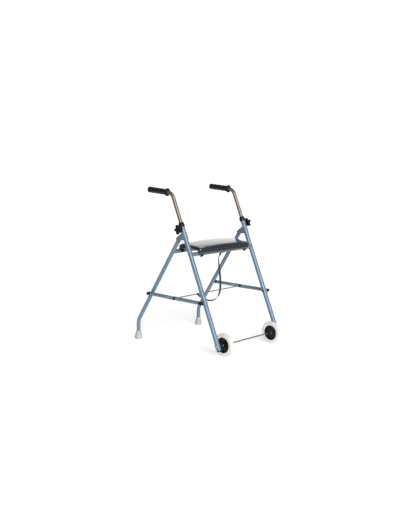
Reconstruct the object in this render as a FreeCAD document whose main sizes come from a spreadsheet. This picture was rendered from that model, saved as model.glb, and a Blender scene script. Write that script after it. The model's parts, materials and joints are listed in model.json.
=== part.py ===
import FreeCAD, Part

import math
import os

import Sketcher
from FreeCAD import Placement, Rotation, Vector

# A folding walking frame with two front wheels and a seat.
# The origin is on the floor, midway between the sides and between the wheels' front edge
# and the rear feet. +X is the user's left, -Y is the way it travels, +Z is up.

doc = FreeCAD.newDocument("walking_frame")

SIZES = [
    ("leg_plane", 248, "from the middle of the frame to each side's leg tubes"),
    ("front_foot_y", -307.4, "where the front legs' centre line would reach the floor"),
    ("front_rise", 0.44, "how far a front leg runs back for each millimetre it rises"),
    ("front_tube_dia", 25, "front leg tube"),
    ("rear_tube_dia", 22, "rear leg tube and both cross tubes"),
    ("handle_tube_dia", 20, "height-adjustable handle tube"),
    ("stay_dia", 20, "folding stay tube"),
    ("tube_wall", 1.5, "wall of every aluminium tube"),
    ("leg_bottom", 47, "lower end of a front leg, along its centre line from the floor"),
    ("leg_top", 734, "upper end of a front leg, along its centre line from the floor"),
    ("pivot_y", 4.9, "hinge of the rear legs"),
    ("pivot_z", 597.8, "hinge of the rear legs"),
    ("rear_run", 0.646, "how far a rear leg runs back for each millimetre it drops"),
    ("rear_foot_y", 321.6, "upright foot of a rear leg"),
    ("rear_bend", 70, "radius of the bend above a rear foot"),
    ("front_cross_z", 521, "front cross tube under the seat"),
    ("rear_cross_z", 525, "rear cross tube that the seat hinges on"),
    ("wheel_dia", 125, "front wheel"),
    ("wheel_plane", 200, "from the middle of the frame to each wheel's middle"),
    ("wheel_width", 24, "tyre"),
    ("hub_dia", 83, "hub that the tyre is moulded on"),
    ("axle_dia", 8, "one axle rod through both wheels and both front legs"),
    ("stay_plane", 272, "from the middle of the frame to the folding stays"),
    ("stay_z", 279, "folding stays' pivots"),
    ("stay_blade", 4, "thickness of a stay's flattened end"),
    ("stay_blade_height", 20, "height of a stay's flattened end"),
    ("rod_dia", 6, "rod that joins the stays' middle hinges"),
    ("bolt_dia", 6, "stay bolts"),
    ("pivot_dia", 7.9, "pins of the rear legs' hinge"),
    ("vertex_z", 838.4, "bend of the handle tube, on its centre line"),
    ("handle_bend", 45, "radius of the handle's bend"),
    ("handle_reach", 174.1, "from the bend back to the end of the grip"),
    ("handle_lift", 9.5, "rise from the bend to the end of the grip"),
    ("handle_inside", 300, "drop from the bend to the handle tube's lower end"),
    ("grip_dia", 33, "grip"),
    ("grip_length", 142, "grip with its flange"),
    ("flange_dia", 43, "flange in front of the grip"),
    ("collar_bottom", 723, "lower end of the height collar along the leg"),
    ("collar_top", 748, "upper end of the height collar along the leg"),
    ("lug_radius", 9.5, "round lug that hangs from the collar and carries the knob"),
    ("lug_reach", 24.5, "from the leg's plane to the lug's outer face"),
    ("knob_at", 712, "clamping knob's axis along the leg"),
    ("knob_inner", 27, "from the leg's plane to the knob's inner face"),
    ("knob_width", 16, "knob"),
    ("knob_lobe", 7.5, "radius of one lobe of the knob"),
    ("knob_ring", 19.5, "radius that the lobes' centres lie on"),
    ("board_bottom", 539, "underside of the seat board"),
    ("board_thick", 8, "seat board"),
    ("seat_width", 420, "seat over its cover"),
    ("seat_front", -113, "front edge of the seat"),
    ("seat_back", 60, "rear edge of the seat"),
    ("seat_top", 577, "top of the seat"),
    ("lip_bottom", 518, "lower edge of the lip that hangs before the front cross tube"),
    ("clip_width", 20, "seat hooks and hinge clips"),
    ("hook_inner", 13.5, "inside radius of a seat hook"),
    ("hook_thick", 4.5, "wall of a seat hook"),
    ("hook_forward", 2.5, "hook's centre before the front cross tube's, so that it clears"),
    ("hook_drop", 1.5, "hook's centre below the front cross tube's, so that it clears"),
    ("flange_thick", 2.8, "plastic flange of a seat hook or hinge clip"),
    ("screw_hole", 3.8, "hole in such a flange"),
    ("hook_at", 176, "from the middle of the frame to each seat hook"),
    ("clip_at", 186, "from the middle of the frame to each hinge clip"),
    ("ferrule_dia", 41.6, "rubber foot at its widest, just above the floor"),
    ("ferrule_height", 48, "rubber foot"),
    ("strap_dia", 5, "bundle of the pull strap"),
    ("strap_front_x", 5, "pull strap's loop on the front cross tube"),
    ("strap_rear_x", -92, "pull strap's loop on the cross rod"),
    ("strap_loop_width", 12, "webbing of both loops"),
    ("axle_overhang", 3.4, "axle rod beyond each leg tube"),
    ("hub_recess", 4.5, "from a wheel's middle to the inner end of its hub's boss"),
    ("slip", 0.05, "running clearance on a radius"),
]

sheet = doc.addObject("Spreadsheet::Sheet", "Sizes")
for row, (alias, value, note) in enumerate(SIZES, start=1):
    sheet.set("A%d" % row, alias)
    sheet.set("B%d" % row, str(value))
    sheet.set("C%d" % row, note)
    sheet.setAlias("B%d" % row, alias)
doc.recompute()

SIDES = (("left", 1), ("right", -1))
ACROSS = Rotation(Vector(0, 1, 0), 90)
parts = {}


def size(alias):
    """One driving dimension, in millimetres."""
    return float(sheet.get(alias))


# ---------------------------------------------------------------- places worked out from the sizes

LEAN = math.atan(size("front_rise"))
SPLAY = math.atan(size("rear_run"))
LEG_TURN = Rotation(Vector(1, 0, 0), -math.degrees(LEAN))
REAR_TURN = Rotation(Vector(1, 0, 0), math.degrees(SPLAY))
PIVOT = Vector(0, size("pivot_y"), size("pivot_z"))


def front_line(height):
    """A point on the front legs' centre line, in the middle plane."""
    return Vector(0, size("front_foot_y") + size("front_rise") * height, height)


def rear_line(height):
    """A point on the rear legs' straight centre line, in the middle plane."""
    return Vector(0, PIVOT.y + size("rear_run") * (PIVOT.z - height), height)


def on_leg(x, along):
    """A place on a front leg: local Z runs up the leg and local Y points back from it."""
    foot = Vector(x, size("front_foot_y"), 0)
    return Placement(foot + LEG_TURN.multVec(Vector(0, 0, along)), LEG_TURN)


def along_leg(height):
    """Distance up the front leg's centre line at a height above the floor."""
    return height / math.cos(LEAN)


AXLE = front_line(size("wheel_dia") / 2)
STAY_FRONT = front_line(size("stay_z"))
STAY_REAR = rear_line(size("stay_z"))
STAY_HALF = (STAY_REAR.y - STAY_FRONT.y) / 2
STAY_MIDDLE = (STAY_FRONT + STAY_REAR) / 2
FRONT_CROSS = front_line(size("front_cross_z"))
REAR_CROSS = rear_line(size("rear_cross_z"))
PIVOT_ALONG = (PIVOT - front_line(0)).dot(LEG_TURN.multVec(Vector(0, 0, 1)))
PIVOT_BACK = (PIVOT - front_line(0)).dot(LEG_TURN.multVec(Vector(0, 1, 0)))
VERTEX = front_line(size("vertex_z"))
GRIP_WAY = Vector(0, size("handle_reach"), size("handle_lift")).normalize()


# ---------------------------------------------------------------- ways of making a piece

def keep(label, obj):
    """Name a finished piece, which becomes a file of the same name."""
    obj.Label = label
    parts[label] = obj
    return obj


def bind(obj, **expressions):
    """Bind an object's properties to the sheet."""
    for name, expression in expressions.items():
        obj.setExpression(name, expression)
    return obj


def drum(radius, height, place=Placement()):
    """A cylinder whose radius and height are expressions; its axis is local Z."""
    obj = bind(doc.addObject("Part::Cylinder", "Drum"), Radius=radius, Height=height)
    obj.Placement = place
    return obj


def cut(base, *tools):
    """The base with each tool taken away in turn."""
    for tool in tools:
        step = doc.addObject("Part::Cut", "Cut")
        step.Base = base
        step.Tool = tool
        base = step
    return base


def fuse(*pieces):
    """Several solids as one."""
    obj = doc.addObject("Part::MultiFuse", "Fuse")
    obj.Shapes = list(pieces)
    return obj


def group(label, *pieces):
    """Separate like solids in one node."""
    obj = doc.addObject("Part::Compound", "Group")
    obj.Links = list(pieces)
    return keep(label, obj)


def cross_hole(radius, y, z):
    """A drill right through along X, at a place in the piece's own frame."""
    place = Placement(Vector(-60, y, z), ACROSS)
    return drum(radius, "120", place)


def tube(outer, inner, length):
    """A straight tube up local Z, from expressions for its radii and length."""
    return cut(drum(outer, length), drum(inner, length))


def turned(outline, name="Turned"):
    """A body turned about local Z. The outline is (radius, height) pairs of expressions."""
    body = doc.addObject("PartDesign::Body", name)
    sketch = body.newObject("Sketcher::SketchObject", "Outline")
    plane = [f for f in body.Origin.OriginFeatures if f.Role == "XZ_Plane"][0]
    sketch.AttachmentSupport = [(plane, "")]
    sketch.MapMode = "FlatFace"
    values = [(evaluate(r), evaluate(z)) for r, z in outline]
    corners = [Vector(r, z, 0) for r, z in values]
    for index, corner in enumerate(corners):
        sketch.addGeometry(Part.LineSegment(corner, corners[(index + 1) % len(corners)]))
    for index in range(len(corners)):
        following = (index + 1) % len(corners)
        sketch.addConstraint(Sketcher.Constraint("Coincident", index, 2, following, 1))
    for index, (terms, value) in enumerate(zip(outline, values)):
        for kind, axis, term, amount in (("DistanceX", -2, terms[0], value[0]),
                                         ("DistanceY", -1, terms[1], value[1])):
            if abs(amount) < 1e-9:
                sketch.addConstraint(Sketcher.Constraint("PointOnObject", index, 1, axis))
                continue
            number = sketch.addConstraint(Sketcher.Constraint(kind, -1, 1, index, 1, amount))
            sketch.setExpression("Constraints[%d]" % number, term)
    revolve = body.newObject("PartDesign::Revolution", "Turn")
    revolve.Profile = sketch
    revolve.ReferenceAxis = (sketch, ["V_Axis"])
    revolve.Angle = 360
    sketch.Visibility = False
    return body


def evaluate(expression):
    """The value of an expression over the sheet."""
    value = sheet.evalExpression(expression.replace("Sizes.", ""))
    return float(getattr(value, "Value", value))


def shaped(shape, name="Shape"):
    """A piece whose solid comes from Part's own functions and the sheet's sizes."""
    obj = doc.addObject("Part::Feature", name)
    obj.Shape = shape
    return obj


def bent_tube(points, bend, outer, inner):
    """A hollow tube along three points with one bend, as a plain shape."""
    start, corner, end = points
    before = (start - corner).normalize()
    after = (end - corner).normalize()
    half = before.getAngle(after) / 2
    tangent = bend / math.tan(half)
    middle = (before + after).normalize() * (bend / math.sin(half) - bend)
    enter = corner + before * tangent
    leave = corner + after * tangent
    path = Part.Wire([Part.LineSegment(start, enter).toShape(),
                      Part.Arc(enter, corner + middle, leave).toShape(),
                      Part.LineSegment(leave, end).toShape()])
    solids = []
    for radius in (outer, inner):
        ring = Part.Wire(Part.makeCircle(radius, start, before))
        solids.append(path.makePipeShell([ring], True, False))
    return solids[0].cut(solids[1])


def x_hole(radius, place, start, end):
    """A drill along X through a place in the middle plane, between two distances, as a plain shape."""
    low, high = sorted((start, end))
    return Part.makeCylinder(radius, high - low, Vector(low, place.y, place.z), Vector(1, 0, 0))


def outward(side, distance, place):
    """Local Z points outward along X, from a distance off the middle plane."""
    turn = Rotation(Vector(0, 1, 0), 90 * side)
    return Placement(Vector(side * distance, place.y, place.z), turn)


def placed(obj, place):
    """The same object, put in its place."""
    obj.Placement = place
    return obj


def ring(outer, inner, length, place):
    """A washer, sleeve or spacer."""
    return placed(tube(outer, inner, length), place)


# ---------------------------------------------------------------- the front frame

def front_leg(label, side):
    """A straight tube, drilled for the axle, the stay's bolt and the clamping knob."""
    base = size("leg_bottom")
    leg = tube("Sizes.front_tube_dia / 2", "Sizes.front_tube_dia / 2 - Sizes.tube_wall",
               "Sizes.leg_top - Sizes.leg_bottom")
    knob = Placement(Vector(0, 0, size("knob_at") - base), Rotation(Vector(0, 1, 0), 90 * side))
    leg = cut(leg, cross_hole("Sizes.axle_dia / 2 + Sizes.slip", 0, along_leg(AXLE.z) - base),
              cross_hole("Sizes.bolt_dia / 2 + Sizes.slip", 0, along_leg(STAY_FRONT.z) - base),
              drum("Sizes.axle_dia / 2 + Sizes.slip", "Sizes.front_tube_dia", knob))
    keep(label, placed(leg, on_leg(side * size("leg_plane"), base)))


def cross_tube(label, place, neighbour):
    """A tube between the two sides, its ends shaped round the leg tubes."""
    reach = size("leg_plane")
    along_x = Placement(Vector(-reach, place.y, place.z), ACROSS)
    bar = placed(tube("Sizes.rear_tube_dia / 2", "Sizes.rear_tube_dia / 2 - Sizes.tube_wall",
                      "2 * Sizes.leg_plane"), along_x)
    turn = LEG_TURN if neighbour == "front" else REAR_TURN
    tools = []
    for _, side in SIDES:
        foot = Vector(side * reach, place.y, place.z) - turn.multVec(Vector(0, 0, 40))
        tools.append(drum("Sizes.%s_tube_dia / 2 + Sizes.slip" % neighbour, "80",
                          Placement(foot, turn)))
    keep(label, cut(bar, *tools))


def hinge_bracket(label, side):
    """A bent steel saddle round the leg, whose two cheeks carry the rear leg's pin."""
    bore = size("front_tube_dia") / 2 + size("slip")
    sheet_thick = 2
    outer = bore + sheet_thick
    height = 38
    back = PIVOT_BACK + 14
    saddle = Part.makeCylinder(outer, height).fuse(
        Part.makeBox(2 * outer, back, height, Vector(-outer, 0, 0)))
    saddle = saddle.cut(Part.makeCylinder(bore, height))
    saddle = saddle.cut(Part.makeBox(2 * bore, back, height, Vector(-bore, 0, 0)))
    eye, middle = 10, height / 2
    outline = [(-outer, 0), (8, 0), (PIVOT_BACK + 2, middle - eye), (PIVOT_BACK + 2, middle + eye),
               (8, height), (-outer, height)]
    wire = Part.makePolygon([Vector(-outer, y, z) for y, z in outline + outline[:1]])
    side_view = Part.Face(wire).extrude(Vector(2 * outer, 0, 0))
    boss = Part.makeCylinder(eye, 2 * outer, Vector(-outer, PIVOT_BACK, middle), Vector(1, 0, 0))
    shape = saddle.common(side_view.fuse(boss))
    hole = size("pivot_dia") / 2 + size("slip")
    shape = shape.cut(Part.makeCylinder(hole, 3 * outer, Vector(-1.5 * outer, PIVOT_BACK, middle),
                                        Vector(1, 0, 0)))
    place = on_leg(side * size("leg_plane"), PIVOT_ALONG - middle)
    keep(label, placed(shaped(shape.removeSplitter()), place))


def height_collar(label, side):
    """A short moulded sleeve on top of the leg, with a lug below it that takes the knob's screw."""
    bottom = size("collar_bottom")
    long, step = "Sizes.collar_top - Sizes.collar_bottom", "Sizes.leg_top - Sizes.collar_bottom + 0.3"
    leg_bore = "Sizes.front_tube_dia / 2 + Sizes.slip"
    handle_bore = "Sizes.handle_tube_dia / 2 + Sizes.slip"
    sleeve = turned([(leg_bore, "0"), ("15.4", "0"), ("16", "1.5"), ("16", "13"), ("15.4", "18"),
                     ("14", long), (handle_bore, long), (handle_bore, step), (leg_bore, step)],
                    "Sleeve")
    out = Rotation(Vector(0, 1, 0), 90 * side)
    level = size("knob_at") - bottom
    lug = drum("Sizes.lug_radius", "Sizes.lug_reach", Placement(Vector(0, 0, level), out))
    web_top = 6
    web = bind(doc.addObject("Part::Box", "Web"), Width="2 * Sizes.lug_radius")
    web.Length = 15.8
    web.Height = web_top - level
    web.Placement = Placement(Vector(0 if side > 0 else -15.8, -size("lug_radius"), level), Rotation())
    below = 40
    bore = drum(leg_bore, step + " + %d" % below, Placement(Vector(0, 0, -below), Rotation()))
    screw = drum("Sizes.axle_dia / 2 + Sizes.slip", "60", Placement(Vector(0, 0, level), out))
    pocket = drum("6.6", "12", Placement(Vector(side * 18, 0, level), out))
    collar = cut(fuse(sleeve, lug, web), bore, screw, pocket)
    keep(label, placed(collar, on_leg(side * size("leg_plane"), bottom)))


def clamp_inserts():
    """Threaded inserts that sit in the collars' bosses and take the knobs' screws."""
    pieces = []
    for _, side in SIDES:
        turn = LEG_TURN.multiply(Rotation(Vector(0, 1, 0), 90 * side))
        spot = on_leg(side * size("leg_plane"), size("knob_at")).Base + Vector(side * 18.1, 0, 0)
        pieces.append(ring("6.55", "Sizes.axle_dia / 2 + Sizes.slip", "6", Placement(spot, turn)))
    group("clamp_inserts", *pieces)


def front_leg_plugs():
    """Plastic plugs that close the lower ends of the front legs."""
    outline = [("0", "0"), ("9", "0"), ("12.2", "2.5"), ("12.5", "5.8"), ("10.9", "6"),
               ("10.6", "22"), ("0", "22")]
    pieces = [placed(turned(outline, "Plug"),
                     on_leg(side * size("leg_plane"), size("leg_bottom") - 6)) for _, side in SIDES]
    group("front_leg_plugs", *pieces)


def axle_parts():
    """The axle rod with its spacers, retaining rings and low push-on nuts."""
    reach = size("leg_plane") + size("front_tube_dia") / 2 + size("axle_overhang")
    rod = drum("Sizes.axle_dia / 2",
               "2 * (Sizes.leg_plane + Sizes.front_tube_dia / 2 + Sizes.axle_overhang)",
               Placement(Vector(-reach, AXLE.y, AXLE.z), ACROSS))
    keep("axle_rod", rod)
    bore = "Sizes.axle_dia / 2 + Sizes.slip"
    half_hub = size("wheel_width") / 2 + 1
    nuts, spacers, clips = [], [], []
    for _, side in SIDES:
        nut = turned([(bore, "0"), ("7.5", "0"), ("7.5", "1.8"), ("6", "3.6"), ("3", "4.4"),
                      ("0", "4.5"), ("0", "3.3"), (bore, "3.3")], "Nut")
        nuts.append(placed(nut, outward(side, reach - 3.1, AXLE)))
        start = size("wheel_plane") + half_hub + 0.3
        gap = size("leg_plane") - size("front_tube_dia") / 2 - start - 0.2
        spacers.append(ring("7", bore, "%g" % gap, outward(side, start, AXLE)))
        clips.append(ring("6.5", bore, "1.5",
                          outward(side, size("wheel_plane") - size("hub_recess") - 1.8, AXLE)))
    group("axle_cap_nuts", *nuts)
    group("axle_spacers", *spacers)
    group("axle_clips", *clips)


def leg_pins():
    """The rear legs' pivot pins, the front stays' bolts and their washers."""
    stay_bolts, stay_washers, pivots, pivot_washers = [], [], [], []
    plane = size("leg_plane")
    stay_outer = size("stay_plane") + size("stay_dia") / 2
    for _, side in SIDES:
        inner = plane - size("front_tube_dia") / 2 - 3.2
        length = stay_outer + 0.3 - inner
        stay_bolts.append(placed(turned(
            [("0", "0"), ("5.5", "0"), ("6", "0.6"), ("6", "3"), ("Sizes.bolt_dia / 2", "3"),
             ("Sizes.bolt_dia / 2", "%g" % length), ("8.5", "%g" % length),
             ("8.5", "%g" % (length + 2.5)), ("6.5", "%g" % (length + 5)),
             ("0", "%g" % (length + 6))], "Bolt"), outward(side, inner, STAY_FRONT)))
        gap = size("stay_plane") - size("stay_dia") / 2 - plane - size("front_tube_dia") / 2
        stay_washers.append(ring("7.5", "Sizes.bolt_dia / 2 + 0.1", "%g" % (gap - 0.5),
                                 outward(side, plane + size("front_tube_dia") / 2 + 0.1,
                                         STAY_FRONT)))
        cheek = size("front_tube_dia") / 2 + size("slip") + 2
        pivots.append(placed(turned(
            [("0", "0"), ("4", "0"), ("7", "1.6"), ("8", "4.5"), ("8", "5.5"),
             ("Sizes.pivot_dia / 2", "5.5"), ("Sizes.pivot_dia / 2", "%g" % (5.7 + 2 * cheek)),
             ("8", "%g" % (5.7 + 2 * cheek)), ("8", "%g" % (6.7 + 2 * cheek)),
             ("7", "%g" % (9.6 + 2 * cheek)), ("4", "%g" % (11.2 + 2 * cheek)),
             ("0", "%g" % (11.2 + 2 * cheek))], "Pin"),
            outward(side, plane - cheek - 5.6, PIVOT)))
        for face in (-1, 1):
            start = plane + face * (size("rear_tube_dia") / 2 + 0.1)
            turn = Rotation(Vector(0, 1, 0), 90 * side * face)
            spot = Placement(Vector(side * start, PIVOT.y, PIVOT.z), turn)
            pivot_washers.append(ring("9.5", "Sizes.pivot_dia / 2 + 0.1", "1.3", spot))
    group("front_stay_bolts", *stay_bolts)
    group("front_stay_washers", *stay_washers)
    group("pivot_pins", *pivots)
    group("pivot_washers", *pivot_washers)


# ---------------------------------------------------------------- the rear frame

def rear_leg(label, side):
    """A tube that slopes back from its hinge and ends in an upright foot."""
    plane = side * size("leg_plane")
    down = (rear_line(0) - PIVOT).normalize()
    corner = rear_line(PIVOT.z - (size("rear_foot_y") - PIVOT.y) / size("rear_run"))
    top = PIVOT - down * 14
    foot = Vector(0, size("rear_foot_y"), 12.2)
    radius = size("rear_tube_dia") / 2
    shape = bent_tube((top, corner, foot), size("rear_bend"), radius, radius - size("tube_wall"))
    shape = shape.cut(x_hole(size("pivot_dia") / 2 + size("slip"), PIVOT, -30, 30))
    shape = shape.cut(x_hole(5.05, STAY_REAR, 0, 30 * side))
    keep(label, placed(shaped(shape), Placement(Vector(plane, 0, 0), Rotation())))


def rear_frame_parts():
    """Ferrules, end caps and the threaded inserts that the rear stays bolt to."""
    caps, inserts = [], []
    for name, side in SIDES:
        plane = side * size("leg_plane")
        bore = "Sizes.rear_tube_dia / 2 + Sizes.slip"
        ferrule = turned([("0", "0"), ("Sizes.ferrule_dia / 2 - 2.4", "0"),
                          ("Sizes.ferrule_dia / 2 - 0.8", "1.6"), ("Sizes.ferrule_dia / 2", "6"),
                          ("Sizes.ferrule_dia / 2 - 0.4", "12"), ("18.6", "23"), ("16.2", "33"),
                          ("13.7", "Sizes.ferrule_height - 4"), ("12.6", "Sizes.ferrule_height"),
                          (bore, "Sizes.ferrule_height"), (bore, "12"), ("0", "12")], "Ferrule")
        foot = Placement(Vector(plane, size("rear_foot_y"), 0), Rotation())
        keep("rear_ferrule_" + name, placed(ferrule, foot))
        cap = turned([("0", "0"), ("9.2", "0"), ("9.4", "8.05"), ("11", "8.05"), ("11", "10"),
                      ("8", "13"), ("0", "14.5")], "Cap")
        up = REAR_TURN.multVec(Vector(0, 0, 1))
        caps.append(placed(cap, Placement(Vector(plane, PIVOT.y, PIVOT.z) + up * 6, REAR_TURN)))
        nut = turned([("3.2", "0"), ("5", "0"), ("5", "9"), ("7", "9.1"), ("7", "11.2"),
                      ("3.2", "11.2")], "Insert")
        inserts.append(placed(nut, outward(side, size("leg_plane") + 2, STAY_REAR)))
    group("rear_leg_caps", *caps)
    group("stay_anchor_inserts", *inserts)


# ---------------------------------------------------------------- the folding stays

def stay(label, side, pivot, way):
    """A stay tube, flattened where it laps the other stay at the middle hinge."""
    radius = size("stay_dia") / 2
    blade, tall = size("stay_blade"), size("stay_blade_height")
    shift = -way * (blade / 2 + 0.25) * side
    flat_start, taper_start, start = STAY_HALF - 42, STAY_HALF - 60, 16
    forward = Vector(0, 1, 0)
    solid = Part.makeCylinder(radius, taper_start - start, Vector(0, start, 0), forward)
    solid = solid.cut(Part.makeCylinder(radius - size("tube_wall"), taper_start - start - 2,
                                        Vector(0, start, 0), forward))
    angles = [math.radians(a) for a in (45, 135, 225, 315)]
    round_end = []
    for index, angle in enumerate(angles):
        spots = [angle, angle + math.pi / 4, angle + math.pi / 2]
        arc = [Vector(radius * math.cos(a), taper_start, radius * math.sin(a)) for a in spots]
        round_end.append(Part.Arc(*arc).toShape())
    corners = [Vector(shift + x * blade / 2, flat_start, z * tall / 2)
               for x, z in ((1, 1), (-1, 1), (-1, -1), (1, -1))]
    flat_end = Part.makePolygon(corners + corners[:1])
    taper = Part.makeLoft([Part.Wire(round_end), flat_end], True, True)
    blade_box = Part.makeBox(blade, STAY_HALF - flat_start, tall,
                             Vector(shift - blade / 2, flat_start, -tall / 2))
    blade_end = Part.makeCylinder(tall / 2, blade, Vector(shift - blade / 2, STAY_HALF, 0),
                                  Vector(1, 0, 0))
    solid = solid.fuse([taper, blade_box, blade_end]).removeSplitter()
    solid = solid.cut(Part.makeCylinder(size("rod_dia") / 2 + size("slip"), 40,
                                        Vector(-20, STAY_HALF, 0), Vector(1, 0, 0)))
    if way < 0:
        solid = solid.mirror(Vector(), forward)
    keep(label, placed(shaped(solid), Placement(Vector(side * size("stay_plane"), pivot.y, pivot.z),
                                                Rotation())))


def stay_ends(label, pivot, way):
    """Dark plastic eyes pushed into the stay tubes, drilled for the pivot bolts."""
    bore = "Sizes.stay_dia / 2 - Sizes.tube_wall"
    outline = [("0", "-12"), ("5", "-11"), ("8", "-8"), ("Sizes.stay_dia / 2 - 0.1", "-3"),
               ("Sizes.stay_dia / 2 - 0.1", "15.8"), (bore + " - 0.05", "16"), (bore + " - 0.3", "34"),
               ("0", "34")]
    pieces = []
    turn = Rotation(Vector(1, 0, 0), -90 * way)
    for _, side in SIDES:
        spot = Vector(side * size("stay_plane"), pivot.y, pivot.z)
        eye = placed(turned(outline, "Eye"), Placement(spot, turn))
        drill = drum("Sizes.bolt_dia / 2 + Sizes.slip", "40",
                     Placement(spot - Vector(20, 0, 0), ACROSS))
        pieces.append(cut(eye, drill))
    group(label, *pieces)


def rod_parts():
    """The cross rod through both middle hinges, with a black collar and cap at each."""
    rod = drum("Sizes.rod_dia / 2", "2 * Sizes.stay_plane + 12",
               Placement(Vector(-size("stay_plane") - 6, STAY_MIDDLE.y, STAY_MIDDLE.z), ACROSS))
    keep("cross_rod", rod)
    half = size("stay_blade") + 0.25
    caps, collars, bolts = [], [], []
    bore = "Sizes.rod_dia / 2 + 0.02"
    for _, side in SIDES:
        cap = turned([(bore, "0"), ("7", "0"), ("7", "2.6"), ("5", "4.6"), ("0", "5.2"),
                      ("0", "2.4"), (bore, "2.4")], "Cap")
        caps.append(placed(cap, outward(side, size("stay_plane") + half + 0.15, STAY_MIDDLE)))
        collars.append(ring("6.5", bore, "7",
                            outward(side, size("stay_plane") - half - 7.2, STAY_MIDDLE)))
        reach = size("stay_dia") - 0.4
        bolt = turned([("0", "0"), ("Sizes.bolt_dia / 2", "0"), ("Sizes.bolt_dia / 2", "%g" % reach),
                       ("8.5", "%g" % reach), ("8.5", "%g" % (reach + 2.5)),
                       ("6.5", "%g" % (reach + 5)), ("0", "%g" % (reach + 6))], "Bolt")
        bolts.append(placed(bolt, outward(side, size("stay_plane") - size("stay_dia") / 2 + 0.6,
                                          STAY_REAR)))
    group("rod_caps", *caps)
    group("rod_collars", *collars)
    group("rear_stay_bolts", *bolts)


# ---------------------------------------------------------------- the pull strap

STRAP_ROUTE = [(4, -69.5, 507.5), (-5, -66.5, 494), (-12, -65.2, 477), (-12, -67, 455),
               (-8.5, -70.8, 418), (-5.5, -74.2, 374), (-3.5, -76, 331), (-5, -74.6, 297),
               (-11, -68.5, 269), (-22, -57, 250), (-37, -42, 242), (-53, -26, 244),
               (-68, -11, 251), (-80, 1, 261), (-87, 8.6, 272)]


def cord_solid(route, radius):
    """A cord along straight runs joined by arcs as large as their runs allow."""
    points = [Vector(*spot) for spot in route]
    edges, here, length, radii = [], points[0], 0, []
    for before, corner, after in zip(points, points[1:], points[2:]):
        back, on = (before - corner), (after - corner)
        shorter = 0.45 * min(back.Length, on.Length)
        back.normalize()
        on.normalize()
        half = back.getAngle(on) / 2
        bend = shorter * math.tan(half)
        enter, leave = corner + back * shorter, corner + on * shorter
        peak = corner + (back + on).normalize() * (bend / math.sin(half) - bend)
        edges += [Part.LineSegment(here, enter).toShape(), Part.Arc(enter, peak, leave).toShape()]
        here = leave
        radii.append(round(bend, 1))
    edges.append(Part.LineSegment(here, points[-1]).toShape())
    path = Part.Wire(edges)
    section = Part.Wire(Part.makeCircle(radius, points[0], points[1] - points[0]))
    solid = path.makePipeShell([section], True, False)
    expected = math.pi * radius ** 2 * path.Length
    print("strap length %.1f, radii %s, volume %.1f of %.1f"
          % (path.Length, radii, solid.Volume, expected))
    return solid


def strap_parts():
    """Black webbing from a sewn loop on the front cross tube to one on the cross rod."""
    keep("pull_strap", shaped(cord_solid(STRAP_ROUTE, size("strap_dia") / 2)))
    width = size("strap_loop_width")
    front = Placement(FRONT_CROSS + Vector(size("strap_front_x") - width / 2, 0, 0), ACROSS)
    keep("strap_loop_front", ring("Sizes.rear_tube_dia / 2 + 1.8",
                                  "Sizes.rear_tube_dia / 2 + Sizes.slip", "Sizes.strap_loop_width",
                                  front))
    rear = Placement(STAY_MIDDLE + Vector(size("strap_rear_x") - width / 2, 0, 0), ACROSS)
    keep("strap_loop_rear", ring("Sizes.rod_dia / 2 + 2", "Sizes.rod_dia / 2 + Sizes.slip",
                                 "Sizes.strap_loop_width", rear))


# ---------------------------------------------------------------- the seat

def rounded_plate(low, high, radius):
    """A box whose upright corners are rounded, as a plain shape."""
    box = Part.makeBox(high.x - low.x, high.y - low.y, high.z - low.z, low)
    upright = [e for e in box.Edges if abs(e.tangentAt(e.FirstParameter).z) > 0.99]
    return box.makeFillet(radius, upright)


def seat_parts():
    """A board with a padded cover, hooks for the front tube and clips on the rear tube."""
    half, bottom = size("seat_width") / 2, size("board_bottom")
    top = bottom + size("board_thick")
    front, back = size("seat_front"), size("seat_back")
    board_low = Vector(-half + 10, front + 14, bottom)
    board_high = Vector(half - 10, back - 8, top)
    board = rounded_plate(board_low, board_high, 18)
    keep("seat_board", shaped(board))
    cover = rounded_plate(Vector(-half, front, bottom), Vector(half, back, size("seat_top")), 26)
    lip = rounded_plate(Vector(-half, front, bottom - 20), Vector(half, front + 60, bottom), 26)
    lip = lip.common(Part.makeBox(2 * half, 12, 60, Vector(-half, front, bottom - 40)))
    lip = lip.fuse(Part.makeBox(2 * half - 60, 12, bottom - size("lip_bottom"),
                                Vector(-half + 30, front, size("lip_bottom"))))
    gap = Vector(0.3, 0.3, 0.3)
    hollow = rounded_plate(board_low - gap - Vector(0, 0, 3), board_high + gap, 18)
    pad = cover.fuse(lip).cut(hollow)
    keep("seat_pad", shaped(pad.removeSplitter()))
    seat_hardware(bottom)


def seat_hardware(bottom):
    """Front hooks, rear hinge clips and the screws that hold them to the board."""
    hooks, clips, screws = [], [], []
    for _, side in SIDES:
        hook_x, clip_x = side * size("hook_at"), side * size("clip_at")
        hook_spots = [Vector(dx, FRONT_CROSS.y + 22, bottom) for dx in (-5, 5)]
        clip_spots = [Vector(0, REAR_CROSS.y - 22, bottom)]
        for pieces, shape, x, spots in ((hooks, hook_shape(bottom), hook_x, hook_spots),
                                        (clips, clip_shape(bottom), clip_x, clip_spots)):
            for spot in spots:
                drill = Part.makeCylinder(size("screw_hole") / 2, 12, spot - Vector(0, 0, 6))
                shape = shape.cut(drill)
                screws.append(placed(seat_screw(), Placement(spot + Vector(x, 0, -5.3), Rotation())))
            pieces.append(placed(shaped(shape, "Fitting"), Placement(Vector(x, 0, 0), Rotation())))
    group("seat_hooks", *hooks)
    group("seat_hinge_clips", *clips)
    group("seat_screws", *screws)


def seat_screw():
    """A pan-headed wood screw that points up into the board."""
    return turned([("0", "0"), ("3", "0"), ("3.5", "0.8"), ("3.5", "2.2"), ("1.8", "2.2"),
                   ("1.8", "10"), ("0", "10")], "Screw")


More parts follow.
